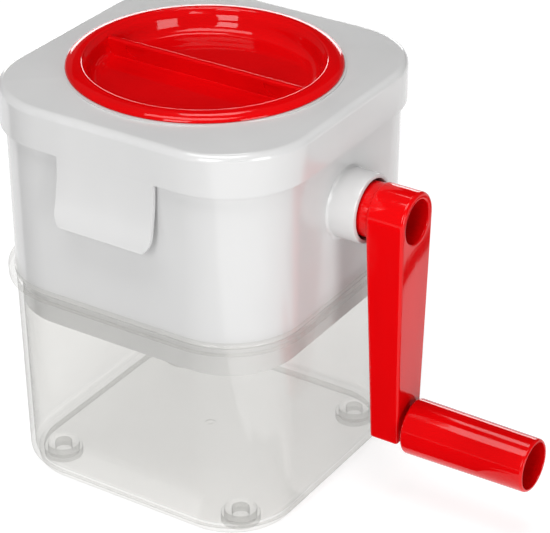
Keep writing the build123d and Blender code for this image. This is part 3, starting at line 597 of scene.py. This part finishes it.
class Recipe:
    """A material under construction."""

    def __init__(self, name):
        self.material = bpy.data.materials.new(name)
        self.material.use_nodes = True
        self.tree = self.material.node_tree
        self.tree.nodes.clear()
        self.place = self.node("ShaderNodeTexCoord", output="Object")

    def node(self, kind, settings=None, inputs=None, output=0):
        """Adds a node: its settings first, then its sockets. Gives one of its outputs."""
        made = self.tree.nodes.new(kind)
        for key, value in (settings or {}).items():
            if key == "stops":
                self.set_stops(made.color_ramp, value)
            else:
                setattr(made, key, value)
        for key, value in (inputs or {}).items():
            if isinstance(value, Wire):
                self.tree.links.new(value.socket, made.inputs[key])
            else:
                made.inputs[key].default_value = value
        return Wire(self, made.outputs[output]) if len(made.outputs) else None

    def set_stops(self, ramp, stops):
        while len(ramp.elements) > 1:
            ramp.elements.remove(ramp.elements[-1])
        for index, (position, value) in enumerate(stops):
            stop = ramp.elements[0] if index == 0 else ramp.elements.new(position)
            stop.position = position
            stop.color = (value, value, value, 1.0)

    def noise(self, scale, detail=2.0, stretch=(1.0, 1.0, 1.0), roughness=0.5):
        """Noise of a scale per metre, drawn out along the axes whose stretch is small."""
        spot = self.node("ShaderNodeMapping", None, {"Vector": self.place, "Scale": stretch})
        return self.node(
            "ShaderNodeTexNoise",
            {"noise_dimensions": "3D"},
            {"Vector": spot, "Scale": scale, "Detail": detail, "Roughness": roughness},
            "Fac",
        )

    def ramp(self, value, *stops):
        """Maps a value through stops of position and level."""
        return self.node("ShaderNodeValToRGB", {"stops": stops}, {"Fac": value})

    def blend(self, share, first, second):
        """Blends two colours by a share."""
        return self.node(
            "ShaderNodeMix",
            {"data_type": "RGBA"},
            {"Factor": share, 6: colour(first), 7: colour(second)},
            2,
        )

    def bump(self, height, strength, distance):
        """Small unevenness of the surface, from a height."""
        settings = {"Height": height, "Strength": strength, "Distance": distance}
        return self.node("ShaderNodeBump", None, settings)

    def mix(self, share, first, second):
        """Mixes two shaders by a share."""
        return self.node("ShaderNodeMixShader", None, {0: share, 1: first, 2: second})

    def see_through(self, *tone):
        """A shader that lets light straight through, tinted."""
        return self.node("ShaderNodeBsdfTransparent", None, {"Color": colour(tone)})

    def surface(self, inputs):
        """The plain surface shader with its inputs."""
        return self.node("ShaderNodeBsdfPrincipled", None, inputs)

    def finish(self, shader):
        self.node("ShaderNodeOutputMaterial", None, {"Surface": shader})
        return self.material


def colour(value):
    """A colour socket's value: a wire as it is, or three numbers with a fourth."""
    return value if isinstance(value, Wire) else (*value[:3], 1.0)


def white_plastic(look):
    """Glossy white moulding with a faint orange peel, slight flow marks and fine rubbing."""
    recipe = Recipe("glossy_white")
    cloud = recipe.noise(22.0, 3.0, (1.0, 1.0, 0.35))
    flow = recipe.noise(9.0, 2.0, (1.0, 1.0, 0.25))
    peel = recipe.noise(420.0, 1.0)
    waves = recipe.noise(38.0, 1.0)
    rub = recipe.ramp(recipe.noise(260.0, 3.0, (0.12, 1.0, 1.0), 0.7), (0.58, 0.0), (0.72, 1.0))
    body = recipe.blend(recipe.ramp(cloud, (0.35, 0.0), (0.65, 1.0)), look.white, look.white_shade)
    gloss = 0.16 + recipe.ramp(flow, (0.3, 0.0), (0.7, 1.0)) * 0.05 + rub * 0.05
    skin = recipe.bump(peel * 0.35 + waves, 0.12, 0.00022)
    shader = recipe.surface(
        {
            "Base Color": body,
            "Roughness": gloss,
            "IOR": 1.50,
            "Coat Weight": 0.25,
            "Coat Roughness": 0.08,
            "Normal": skin,
        }
    )
    return recipe.finish(shader)


def red_plastic(look):
    """Deep glossy red moulding: wet looking, with slow sink marks and a few hairlines."""
    recipe = Recipe("glossy_red")
    flow = recipe.noise(26.0, 3.0, (1.0, 1.0, 0.4))
    sink = recipe.noise(48.0, 1.0, (0.8, 1.0, 0.55))
    peel = recipe.noise(520.0, 1.0)
    hairs = recipe.ramp(recipe.noise(340.0, 2.0, (1.0, 1.0, 0.08), 0.8), (0.62, 0.0), (0.74, 1.0))
    body = recipe.blend(recipe.ramp(flow, (0.4, 0.0), (0.75, 1.0)), look.red, look.red_deep)
    gloss = 0.05 + flow * 0.03 + hairs * 0.06
    skin = recipe.bump(sink + peel * 0.05, 0.25, 0.00035)
    shader = recipe.surface(
        {
            "Base Color": body,
            "Roughness": gloss,
            "IOR": 1.50,
            "Specular IOR Level": 0.15,
            "Coat Weight": 0.22,
            "Coat Roughness": 0.015,
            "Normal": skin,
        }
    )
    return recipe.finish(shader)


def clear_plastic(look):
    """Milky clear moulding: haze in clouds, drawn marks down the walls and a soft surface."""
    recipe = Recipe("milky_clear")
    cloud = recipe.noise(16.0, 3.0)
    drawn = recipe.noise(120.0, 2.0, (1.0, 1.0, 0.06))
    waves = recipe.noise(30.0, 1.0)
    haze = recipe.ramp(cloud, (0.3, 0.0), (0.75, 1.0))
    tone = recipe.blend(haze, look.clear, look.clear_haze)
    skin = recipe.bump(waves + drawn * 0.05, 0.02, 0.0003)
    milk = recipe.surface({"Base Color": tone, "Roughness": 0.12 + haze * 0.1, "IOR": 1.45, "Normal": skin})
    glow = recipe.node("ShaderNodeBsdfTranslucent", None, {"Color": colour((0.96, 0.958, 0.94))})
    edge = recipe.node("ShaderNodeLayerWeight", None, {"Blend": 0.3}, "Facing")
    clear = recipe.see_through(0.994, 0.992, 0.986)
    dim = recipe.see_through(0.60, 0.60, 0.595)
    share = 0.045 + haze * 0.025 + drawn * 0.01 + edge * edge * 0.14
    sheet = recipe.mix(share, recipe.mix(edge * edge, clear, dim), recipe.mix(0.5, milk, glow))
    gloss = {"Roughness": 0.06 + haze * 0.05, "Normal": skin}
    gleam = recipe.node("ShaderNodeBsdfAnisotropic", None, gloss)
    shine = 0.03 + edge * edge * edge * edge * 0.22
    return recipe.finish(recipe.mix(shine, sheet, gleam))


def steel(look, name, grain, shine, along):
    """Stamped or turned steel with its grain along one axis."""
    recipe = Recipe(name)
    lines = recipe.noise(grain, 3.0, along, 0.7)
    spots = recipe.noise(70.0, 3.0)
    wear = recipe.ramp(spots, (0.35, 0.0), (0.7, 1.0))
    body = recipe.blend(lines * 0.6 + wear * 0.3, look.steel, look.steel_dark)
    skin = recipe.bump(lines, 0.25, 0.00008)
    gloss = shine + lines * 0.14 + wear * 0.06
    shader = recipe.surface({"Base Color": body, "Metallic": 1.0, "Roughness": gloss, "Normal": skin})
    return recipe.finish(shader)


def black_steel_and_painted_shade():
    """Blackened steel of the screw and washer deep in the crank's boss, made near black so that it also
    paints the deep shade of the bore.
    """
    recipe = Recipe("black_steel_and_painted_shade")
    grain = recipe.noise(600.0, 3.0, (0.2, 1.0, 1.0), 0.6)
    # near black tones: a blackened finish that also paints the bore's deep shade
    body = recipe.blend(grain, (0.012, 0.010, 0.010), (0.035, 0.030, 0.030))
    skin = recipe.bump(grain, 0.2, 0.00005)
    gloss = 0.42 + grain * 0.15
    shader = recipe.surface({"Base Color": body, "Metallic": 0.6, "Roughness": gloss, "Normal": skin})
    return recipe.finish(shader)


def bush_plastic(look):
    """Matt grey bearing plastic with a turned grain."""
    recipe = Recipe("bearing_grey")
    grain = recipe.noise(500.0, 2.0, (0.2, 1.0, 1.0))
    body = recipe.blend(recipe.noise(60.0, 2.0), look.bush, tuple(0.75 * c for c in look.bush))
    skin = recipe.bump(grain, 0.2, 0.0001)
    return recipe.finish(
        recipe.surface({"Base Color": body, "Roughness": 0.42 + grain * 0.15, "Normal": skin})
    )


def floor_paper(look, glow):
    """Pale seamless studio paper with a very fine tooth, and an even glow that keeps it near white."""
    recipe = Recipe("floor_paper")
    tooth = recipe.noise(900.0, 2.0)
    body = recipe.blend(recipe.noise(3.0, 2.0) * 0.5, look.floor, tuple(0.99 * c for c in look.floor))
    shader = recipe.surface(
        {
            "Base Color": body,
            "Roughness": 0.75 + tooth * 0.1,
            "Specular IOR Level": 0.1,
            "Emission Color": (1.0, 1.0, 1.0, 1.0),
            "Emission Strength": glow,
        }
    )
    return recipe.finish(shader)


def flag_cloth():
    """Black studio cloth with a fine nap."""
    recipe = Recipe("flag_cloth")
    body = recipe.blend(recipe.noise(700.0, 2.0), (0.004, 0.004, 0.004), (0.012, 0.012, 0.012))
    return recipe.finish(
        recipe.surface({"Base Color": body, "Roughness": 0.95, "Specular IOR Level": 0.05})
    )


def finish_named(name):
    """A finish that was made before, by its name."""
    found = bpy.data.materials.get(name)
    if found is None:
        raise RuntimeError("the finish " + name + " has to be made first")
    return found


# ---------------------------------------------------------------- operators
class SHAVER_OT_finishes(bpy.types.Operator):
    """Makes every finish of the ice shaver"""

    bl_idname = "shaver.finishes"
    bl_label = "Make Finishes"

    def execute(self, context):
        look = context.scene.shaver_finishes
        white_plastic(look)
        red_plastic(look)
        clear_plastic(look)
        steel(look, "claw_steel", 900.0, 0.20, (1.0, 0.06, 0.3))
        steel(look, "turned_steel", 1200.0, 0.24, (0.05, 1.0, 1.0))
        black_steel_and_painted_shade()
        bush_plastic(look)
        floor_paper(look, context.scene.shaver_studio.floor_glow)
        flag_cloth()
        return {"FINISHED"}


class SHAVER_OT_studio(bpy.types.Operator):
    """Makes the camera, the floor, the soft lights and the dark flags"""

    bl_idname = "shaver.studio"
    bl_label = "Make Studio"

    def execute(self, context):
        studio = context.scene.shaver_studio
        clear_selection()
        aim = Vector(studio.camera_aim)
        turn = aim.to_track_quat("-Z", "Y").to_euler()
        bpy.ops.object.camera_add(location=studio.camera_place, rotation=turn)
        camera = context.object
        camera.name = "view"
        camera.data.lens = studio.lens
        camera.data.sensor_width = 36.0
        camera.data.sensor_fit = "HORIZONTAL"
        camera.data.clip_start = 0.01
        camera.data.clip_end = 50.0
        context.scene.camera = camera

        bpy.ops.mesh.primitive_plane_add(size=studio.floor_size, location=(0.0, 0.0, -0.0001))
        floor = context.object
        floor.name = "floor"
        freeze(floor)
        floor.data.materials.append(finish_named("floor_paper"))

        world = context.scene.world or bpy.data.worlds.new("room")
        context.scene.world = world
        world.use_nodes = True
        back = world.node_tree.nodes["Background"]
        back.inputs["Color"].default_value = (1.0, 1.0, 1.0, 1.0)
        back.inputs["Strength"].default_value = studio.sky
        context.scene.view_settings.view_transform = "Standard"
        context.scene.view_settings.look = "None"

        # power, place, the point it is aimed at, width and height
        soft_box("key_light", studio.key, (0.2, -1.05, 0.62), (0.0, 0.0, 0.09), (0.4, 0.55))
        soft_box("fill_light", studio.fill, (1.05, -0.35, 0.28), (0.05, 0.0, 0.09), (0.4, 0.5))
        soft_box("top_light", studio.top, (0.05, -0.3, 1.15), (0.0, 0.0, 0.1), (0.9, 0.5))
        soft_box("back_light", studio.back, (-0.3, 0.5, 1.25), (0.0, 0.0, 0.1), (0.3, 0.3))
        soft_box("rim_light", studio.rim, (-1.15, 1.8, 0.42), (0.0, 0.0, 0.15), (1.6, 0.42))
        # two corners on the floor, and the height where it isn't just over the floor
        dark_flag("flag_front", (-0.64, -0.735), (0.10, -0.075))
        dark_flag("flag_crank", (0.03, -0.075), (0.11, -0.018))
        dark_flag("flag_above", (-1.4, 0.55), (-0.1, 2.1), 0.9)
        for index, x in enumerate((0.172, 0.196, 0.222)):
            dark_flag("flag_strip_%d" % (index + 1), (x, 0.06), (x + 0.009 + index * 0.004, 0.30))
        return {"FINISHED"}


def dark_flag(name, low, high, height=0.002):
    """A black level board that is seen only in glossy surfaces."""
    middle = ((low[0] + high[0]) / 2, (low[1] + high[1]) / 2, height)
    bpy.ops.mesh.primitive_plane_add(size=1.0, location=middle)
    flag = bpy.context.object
    flag.name = name
    flag.scale = (high[0] - low[0], high[1] - low[1], 1.0)
    freeze(flag)
    flag.data.materials.append(finish_named("flag_cloth"))
    for ray in ("visible_camera", "visible_diffuse", "visible_transmission", "visible_shadow"):
        setattr(flag, ray, False)


def soft_box(name, power, place, target, size):
    """A rectangular soft light aimed at a point."""
    turn = (Vector(target) - Vector(place)).to_track_quat("-Z", "Y").to_euler()
    bpy.ops.object.light_add(type="AREA", location=place, rotation=turn)
    lamp = bpy.context.object
    lamp.name = name
    lamp.data.shape = "RECTANGLE"
    lamp.data.size = size[0]
    lamp.data.size_y = size[1]
    lamp.data.energy = power


class SHAVER_OT_bin(bpy.types.Operator):
    """Models the clear bin with its rim, base ring and feet"""

    bl_idname = "shaver.bin"
    bl_label = "Model Bin"

    def execute(self, context):
        size = context.scene.shaver_bin
        steps = context.scene.shaver_studio.corner_steps
        top = BIN_HIGH.z
        shoulder = top - size.rim_depth
        under = shoulder - size.ledge
        bevel = size.foot_bevel
        ring_in = size.ring_half - size.wall
        grow = (size.top_half - size.foot_half) / (shoulder - size.ring_height)
        inner_floor = size.foot_half - size.wall + grow * size.floor
        inner_top = size.top_half - size.wall
        seat = size.rim_half - size.rim_wall
        rings = [
            ("square", ring_in, size.ring_corner - size.wall, size.ring_height),
            ("square", ring_in, size.ring_corner - size.wall, 0.0),
            ("square", size.ring_half, size.ring_corner, 0.0),
            ("square", size.ring_half, size.ring_corner, size.ring_height),
            ("square", size.foot_half - bevel, size.foot_corner - bevel, size.ring_height),
            ("square", size.foot_half, size.foot_corner, size.ring_height + bevel),
            ("square", size.top_half, size.top_corner, under),
            ("square", size.rim_half, size.rim_corner, under),
            ("square", size.rim_half, size.rim_corner, top),
            ("square", seat, size.rim_corner - size.rim_wall, top),
            ("square", seat, size.rim_corner - size.rim_wall, shoulder),
            ("square", inner_top, size.top_corner - size.wall, shoulder),
            ("square", inner_floor, size.foot_corner - size.wall, size.ring_height + size.floor),
        ]
        piece = stack("bin_shell", rings, steps)
        soften(piece, size.soft_edge, 3)
        mid_floor = size.ring_height + size.floor / 2
        well_top = 0.008
        for spot in four_spots(size.foot_place):
            cut(piece, rod("foot", size.foot_radius, 0.0, mid_floor, "Z", spot), "UNION")
        for spot in four_spots(size.foot_place):
            well = rod("well", size.foot_radius - size.foot_wall, size.foot_sole, well_top, "Z", spot)
            cut(well, rod("post", size.post_radius, 0.0, well_top + 0.001, "Z", spot))
            cut(piece, well)
        floor_top = size.ring_height + size.floor
        gate_top = floor_top + size.gate_rise
        cut(piece, rod("gate", size.gate_radius, floor_top - 0.0005, gate_top), "UNION")
        cut(piece, rod("gate_dimple", size.gate_radius * 0.45, floor_top, floor_top + 0.002))
        outward(piece)
        smooth(piece)
        hand_over(piece, "bin", "clear_plastic", finish_named("milky_clear"), "ice_bin")
        return {"FINISHED"}


class SHAVER_OT_housing(bpy.types.Operator):
    """Models the white housing with its collar"""

    bl_idname = "shaver.housing"
    bl_label = "Model Housing"

    def execute(self, context):
        size = context.scene.shaver_housing
        steps = context.scene.shaver_studio.corner_steps
        low, high = HOUSING_LOW.z, HOUSING_HIGH.z
        shoulder = low + size.spigot_height
        inside = size.spigot_half - size.wall
        rings = [
            ("square", size.spigot_half, size.spigot_corner, low),
            ("square", size.spigot_half, size.spigot_corner, shoulder),
            ("square", size.foot_half, size.corner, shoulder),
            ("square", size.top_half, size.corner, high),
            ("square", size.top_half - size.wall, size.corner - size.wall, high),
            ("square", size.foot_half - size.wall, size.corner - size.wall, shoulder + size.web),
            ("square", inside, size.spigot_corner - size.wall, shoulder + size.web),
            ("square", inside, size.spigot_corner - size.wall, low),
        ]
        piece = stack("housing_shell", rings, steps, closed=True)
        soften(piece, size.soft_edge, 3)
        share = (SHAFT_Z - shoulder) / (high - shoulder)
        wall_x = size.foot_half + (size.top_half - size.foot_half) * share
        # the wall is opened first, and the collar then closes it down to the bush
        hole = size.boss_radius - 0.002
        cut(piece, rod("wall_hole", hole, wall_x - PAST, wall_x + PAST, "X", (0.0, SHAFT_Z), 96))
        radius, bore = size.collar_radius, size.collar_bore
        fillet = size.root_fillet
        lip = (radius - bore) * 0.45
        end = HOUSING_HIGH.x
        profile = [
            (size.bush_radius, size.boss_end),
            (size.boss_radius, size.boss_end),
            (size.boss_radius, wall_x - size.wall / 2),
            (radius + fillet, wall_x - size.wall / 2),
            (radius + fillet, wall_x - fillet * 0.05),
            *[(radius + fillet * out, wall_x + fillet * along) for along, out in ARC],
            (radius, wall_x + fillet),
            (radius, end - lip),
            (radius - lip * 0.29, end - lip * 0.29),
            (radius - lip, end),
            (bore + lip * 0.3, end),
            (bore, end - lip * 0.4),
            (bore, size.collar_floor),
            (size.bush_radius, size.collar_floor),
        ]
        rings = [("round", wide, x, SHAFT_Z) for wide, x in profile]
        collar = stack("collar", rings, context.scene.shaver_studio.round_steps, "X", closed=True)
        cut(piece, collar, "UNION")
        pillar_low, pillar_high, hole_low = high - 0.0342, high - 0.0082, high - 0.0202
        for spot in four_spots(size.pillar_place):
            pillar = rod("pillar", size.pillar_radius, pillar_low, pillar_high, "Z", spot, 32)
            cut(piece, pillar, "UNION")
            cut(piece, rod("hole", size.pillar_hole, hole_low, high - 0.008, "Z", spot, 24))
        outward(piece)
        smooth(piece)
        hand_over(piece, "housing", "white_plastic", finish_named("glossy_white"), "housing")
        return {"FINISHED"}


class SHAVER_OT_cover(bpy.types.Operator):
    """Models the white cover with its hipped top, seat and tab"""

    bl_idname = "shaver.cover"
    bl_label = "Model Cover"

    def execute(self, context):
        size = context.scene.shaver_cover
        steps = context.scene.shaver_studio.corner_steps
        top = HOUSING_HIGH.z
        edge = top + size.edge
        skirt = top - size.skirt
        seat = edge + size.seat_rise
        rings = [
            ("square", size.half, size.corner, skirt),
            ("square", size.half, size.corner, edge + 0.006),
        ]
        piece = stack("cover_shell", rings, steps)
        edit(piece)
        for x, y in ((1, 0), (-1, 0), (0, 1), (0, -1)):
            slice_off((x * size.half, y * size.half, edge), (x * size.slope, y * size.slope, 1.0))
        leave()
        rim = size.half * 0.8

        def at_top_edge(here, part):
            outer = max(abs(here.x), abs(here.y)) > rim or here.xy.length > size.half * 1.02
            return outer and here.z > edge - HAIR and bend_of(part) > 0.7

        round_edges(piece, at_top_edge, size.edge_fillet, 6)
        middle = (0.0, 0.0)
        cut(piece, rod("seat", size.seat_radius, top, seat, "Z", middle, FINE_SIDES), "UNION")
        cut(piece, rod("seat_top", size.seat_radius, seat, seat + PAST, "Z", middle, FINE_SIDES))
        inner = size.half - size.wall
        rings = [("square", inner, size.corner - size.wall, z) for z in (skirt - 0.001, top)]
        cut(piece, stack("hollow", rings, steps))
        cut(piece, rod("opening", size.opening, skirt, edge + PAST, "Z", middle, FINE_SIDES))

        def sharp(here, part):
            low_or_inner = here.z < skirt + HAIR or here.xy.length < size.seat_radius + HAIR
            return bend_of(part) > 0.9 and low_or_inner

        round_edges(piece, sharp, size.soft_edge, 2)
        join(piece, self.tab(size, skirt))
        smooth(piece, 32.0)
        hand_over(piece, "cover", "white_plastic", finish_named("glossy_white"), "cover")
        return {"FINISHED"}

    def tab(self, size, skirt):
        """The tongue under the front skirt: a strip drawn down along an arc, then given its thickness."""
        clear_selection()
        middle = -size.half + size.tab_thickness / 2
        upright = (math.pi / 2, 0.0, 0.0)
        place = (0.0, middle, skirt + 0.0005)
        bpy.ops.mesh.primitive_plane_add(size=1.0, location=place, rotation=upright)
        tab = bpy.context.object
        tab.name = "tab"
        tab.dimensions = (2 * size.tab_half, 0.004, 0.0)
        freeze(tab)
        turn = 2 * math.atan(size.tab_flare / size.tab_drop)
        bend = size.tab_drop / math.sin(turn)
        edit(tab)
        pick(tab, lambda here, part: here.z < skirt)
        bpy.ops.transform.resize(value=(1, 1, 0), center_override=(0.0, middle, skirt))
        pick(tab, lambda here, part: here.z > skirt + 0.001)
        bpy.ops.transform.translate(value=(0.0, 0.0002, 0.0))
        pick(tab, lambda here, part: here.z < skirt + 0.001)
        count = 14
        for step in range(1, count + 1):
            before, after = turn * (step - 1) / count, turn * step / count
            out = -bend * (math.cos(before) - math.cos(after))
            down = -bend * (math.sin(after) - math.sin(before))
            bpy.ops.mesh.extrude_region_move(TRANSFORM_OT_translate={"value": (0.0, out, down)})
        leave()
        wall = {"thickness": size.tab_thickness, "offset": 0.0, "use_even_offset": True}
        use_modifier(tab, "SOLIDIFY", "Thickness", **wall)
        end = skirt - size.tab_drop - size.tab_thickness
        rings = [("square", size.tab_half, size.tab_corner, reach) for reach in (-0.03, 0.03)]
        mask = stack("mask", rings, 12)
        mask.rotation_euler = upright
        mask.location = (0.0, middle, end + size.tab_half + 0.0002)
        freeze(mask)
        cut(tab, mask, "INTERSECT")
        soften(tab, size.soft_edge, 2)
        outward(tab)
        return tab


class SHAVER_OT_lid(bpy.types.Operator):
    """Models the red lid with its raised ring, dish and grip bar"""

    bl_idname = "shaver.lid"
    bl_label = "Model Lid"

    def execute(self, context):
        size = context.scene.shaver_lid
        seat = LID_HIGH.z - size.ridge_rise
        floor = seat - size.dish_depth
        fillet = size.floor_fillet
        brim = 0.0003
        profile = [
            (size.plug_radius - 0.003, floor - size.wall),
            (size.plug_radius - 0.0006, floor - size.wall * 0.25),
            (size.plug_radius, floor + 0.001),
            (size.plug_radius, seat),
            (size.radius - brim, seat),
            (size.radius, seat + brim),
        ]
        for index in range(1, 10):
            turn = math.radians(10.0 * index)
            reach = (size.radius - size.ridge_radius) * math.cos(turn)
            rise = (size.ridge_rise - brim) * math.sin(turn)
            profile.append((size.ridge_radius + reach, seat + brim + rise))
        # the ring's inner lip, each point as far in and as far down as given
        lip = ((0.0003, 0.00004), (0.0006, 0.00017), (0.0009, 0.00042), (0.0011, 0.00072), (0.0012, 0.0011))
        profile += [(size.ridge_radius - inwards, LID_HIGH.z - down) for inwards, down in lip]
        profile += [
            (size.floor_radius + 0.0011, seat + 0.0008),
            (size.floor_radius + 0.0006, seat),
            (size.floor_radius, floor + fillet),
            *[(size.floor_radius - fillet * inwards, floor + fillet * up) for inwards, up in ARC],
            (size.floor_radius - fillet, floor),
        ]
        piece = stack("lid_shell", [("round", radius, z) for radius, z in profile], FINE_STEPS)
        half = size.bar_thickness / 2
        reach = size.plug_radius - 0.0008
        bar = block("bar", (-reach, -half, floor - size.wall / 2), (reach, half, floor + size.bar_rise))

        def long_top(here, part):
            return here.z > floor + size.bar_rise - HAIR and abs(here.y) > half - HAIR

        round_edges(bar, long_top, size.bar_thickness * 0.3, 4)
        for side in (-1, 1):
            for x in (-size.mark_place, size.mark_place):
                level = floor + size.bar_rise - size.mark_drop
                face = side * (half - size.mark_depth)
                mark = rod("mark", size.mark_radius, face, face + side * 0.003, "Y", (x, level), 48)
                edit(mark)
                slice_off((x, face, level - 0.0001), (0.0, 0.0, 1.0))
                leave()
                cut(bar, mark)
        cut(piece, bar, "UNION")

        def bar_root(here, part):
            near = abs(here.z - floor) < HAIR and abs(abs(here.y) - half) < HAIR
            return near and abs(here.x) < size.floor_radius - fillet and bend_of(part) > 0.9

        round_edges(piece, bar_root, size.bar_root, 4)
        outward(piece)
        smooth(piece, 40.0)
        hand_over(piece, "lid", "red_plastic", finish_named("glossy_red"), "lid")
        return {"FINISHED"}


class SHAVER_OT_arm(bpy.types.Operator):
    """Models the red crank arm with its open boss, hub and moulding pockets"""

    bl_idname = "shaver.arm"
    bl_label = "Model Crank Arm"

    def execute(self, context):
        size = context.scene.shaver_crank
        face = size.arm_x + size.depth_top
        foot_face = face - size.face_lean
        foot_low = GRIP_Z - size.below_grip
        flat = size.boss_radius - size.edge
        rim = [math.radians(18.0 * index) for index in range(6)]
        grow = [(size.edge * math.sin(turn), size.edge * (1 - math.cos(turn))) for turn in rim]
        rings = [("round", flat + out, size.arm_x + deep, SHAFT_Z) for out, deep in grow]
        rings += [("round", flat + out, face - deep, SHAFT_Z) for out, deep in grow[::-1]]
        piece = stack("arm_shell", rings, context.scene.shaver_studio.round_steps, "X")
        foot = block(
            "arm_foot",
            (foot_face - size.depth_foot, -size.foot_half, foot_low),
            (foot_face, size.foot_half, foot_low + size.below_grip),
        )
        soften(foot, size.edge, 5)
        join(piece, foot)
        edit(piece)
        bpy.ops.mesh.select_all(action="SELECT")
        bpy.ops.mesh.convex_hull(face_threshold=math.radians(1.0), shape_threshold=math.radians(1.0))
        leave()
        outward(piece)
        on_shaft, on_grip = (0.0, SHAFT_Z), (0.0, GRIP_Z)
        cut(piece, rod("neck", size.neck_radius, size.neck_x, size.arm_x + 0.002, "X", on_shaft, 96), "UNION")
        outward(piece)
        seat_end = GRIP_LOW.x - 0.0001
        cut(piece, rod("seat", size.seat_radius, foot_face - 0.002, seat_end, "X", on_grip, 64), "UNION")
        bore_floor = face - size.bore_depth
        cut(piece, rod("bore", size.bore, bore_floor, face + PAST, "X", on_shaft, 96))
        cut(piece, rod("socket", size.socket, size.neck_x - PAST, bore_floor - 0.002, "X", on_shaft, 48))
        cut(piece, rod("screw_hole", size.screw_radius, size.neck_x, bore_floor + 0.001, "X", on_shaft, 32))
        cut(piece, rod("pin_hole", size.pin_radius, foot_face - 0.02, foot_face + PAST, "X", on_grip, 32))
        self.pockets(piece, size, foot_face)

        def mouth(here, part):
            spread = math.hypot(here.y, here.z - SHAFT_Z)
            return abs(here.x - face) < HAIR and spread < size.bore + HAIR and bend_of(part) > 0.9

        round_edges(piece, mouth, size.mouth_edge, 4)
        outward(piece)
        smooth(piece, 36.0)
        hand_over(piece, "crank", "red_plastic", finish_named("glossy_red"), "crank_arm")
        return {"FINISHED"}

    def pockets(self, piece, size, foot_face):
        """Three pockets in the hidden inner face, with ribs between them."""
        low = GRIP_Z + size.pocket_start + size.pocket_wall
        high = SHAFT_Z - size.boss_radius - size.pocket_wall
        pitch = (high - low + size.rib) / 3
        for index in range(3):
            start = low + index * pitch
            end = start + pitch - size.rib
            share = ((start + end) / 2 - GRIP_Z + size.below_grip) / (SHAFT_Z - GRIP_Z + size.below_grip)
            half = size.foot_half + (size.boss_radius - size.foot_half) * share - size.pocket_wall - 0.0003
            roof = foot_face - size.pocket_face
            pocket = block("pocket", (size.arm_x - 0.002, -half, start), (roof, half, end))

            def along_x(here, part):
                return abs(part.verts[0].co.x - part.verts[1].co.x) > 0.001

            round_edges(pocket, along_x, size.pocket_corner, 5)
            cut(piece, pocket)


class SHAVER_OT_grip(bpy.types.Operator):
    """Models the hollow red grip"""

    bl_idname = "shaver.grip"
    bl_label = "Model Grip"

    def execute(self, context):
        size = context.scene.shaver_crank
        start, end, edge = GRIP_LOW.x, GRIP_HIGH.x, size.grip_edge
        inner = size.grip_outer - size.grip_wall
        profile = [
            (size.grip_bore, start),
            (size.grip_inner - edge, start),
            *[(size.grip_inner - edge * inwards, start + edge * along) for along, inwards in ARC],
            (size.grip_inner, start + edge),
            (size.grip_outer, end - edge),
            (size.grip_outer - edge * 0.08, end - edge * 0.62),
            (size.grip_outer - edge * 0.25, end - edge * 0.25),
            (size.grip_outer - edge * 0.55, end),
            (inner + 0.0003, end),
            (inner, end - 0.0004),
            (inner, start + size.grip_web + 0.001),
            (inner - 0.0003, start + size.grip_web + 0.0003),
            (inner - 0.001, start + size.grip_web),
            (size.grip_bore, start + size.grip_web),
        ]
        rings = [("round", radius, x, GRIP_Z) for radius, x in profile]
        piece = stack("grip_shell", rings, context.scene.shaver_studio.round_steps, "X", closed=True)
        smooth(piece, 40.0)
        hand_over(piece, "grip", "red_plastic", finish_named("glossy_red"), "crank_grip")
        return {"FINISHED"}


class SHAVER_OT_inner(bpy.types.Operator):
    """Gives the carried over CAD parts their finishes"""

    bl_idname = "shaver.inner"
    bl_label = "Finish Inner Parts"

    def execute(self, context):
        modelled = ("ice_bin", "housing", "cover", "lid", "crank_arm", "crank_grip")
        stamped = ("claw", "front_comb", "rear_comb")
        for name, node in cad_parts.items():
            if name in modelled:
                continue
            finish = "turned_steel"
            if name == "hopper":
                finish = "glossy_white"
            elif name.endswith("bush"):
                finish = "bearing_grey"
            elif name.startswith("crank_") and name != "crank_side_bush":
                # the crank's small steel parts are near black, which also paints the deep shade in the boss's
                # bore
                finish = "black_steel_and_painted_shade"
            elif name.startswith(stamped) and not name.endswith("screws"):
                finish = "claw_steel"
            node.data.materials.clear()
            node.data.materials.append(finish_named(finish))
        return {"FINISHED"}


class SHAVER_PT_panel(bpy.types.Panel):
    """The steps that make the ice shaver"""

    bl_idname = "SHAVER_PT_panel"
    bl_label = "Ice Shaver"
    bl_space_type = "VIEW_3D"
    bl_region_type = "UI"
    bl_category = "Ice Shaver"

    def draw(self, context):
        for step in STEPS:
            self.layout.operator(step.bl_idname)


STEPS = (
    SHAVER_OT_finishes,
    SHAVER_OT_studio,
    SHAVER_OT_bin,
    SHAVER_OT_housing,
    SHAVER_OT_cover,
    SHAVER_OT_lid,
    SHAVER_OT_arm,
    SHAVER_OT_grip,
    SHAVER_OT_inner,
)
GROUPS = {
    "shaver_bin": BinSizes,
    "shaver_housing": HousingSizes,
    "shaver_cover": CoverSizes,
    "shaver_lid": LidSizes,
    "shaver_crank": CrankSizes,
    "shaver_finishes": Finishes,
    "shaver_studio": StudioSetup,
}


def register():
    for group in GROUPS.values():
        bpy.utils.register_class(group)
    for name, group in GROUPS.items():
        setattr(bpy.types.Scene, name, PointerProperty(type=group))
    for step in STEPS:
        bpy.utils.register_class(step)
    bpy.utils.register_class(SHAVER_PT_panel)


def unregister():
    bpy.utils.unregister_class(SHAVER_PT_panel)
    for step in reversed(STEPS):
        bpy.utils.unregister_class(step)
    for name, group in reversed(GROUPS.items()):
        delattr(bpy.types.Scene, name)
        bpy.utils.unregister_class(group)


def main():
    register()
    bpy.ops.shaver.finishes()
    bpy.ops.shaver.studio()
    bpy.ops.shaver.bin()
    bpy.ops.shaver.housing()
    bpy.ops.shaver.cover()
    bpy.ops.shaver.lid()
    bpy.ops.shaver.arm()
    bpy.ops.shaver.grip()
    bpy.ops.shaver.inner()


if __name__ == "__main__":
    main()
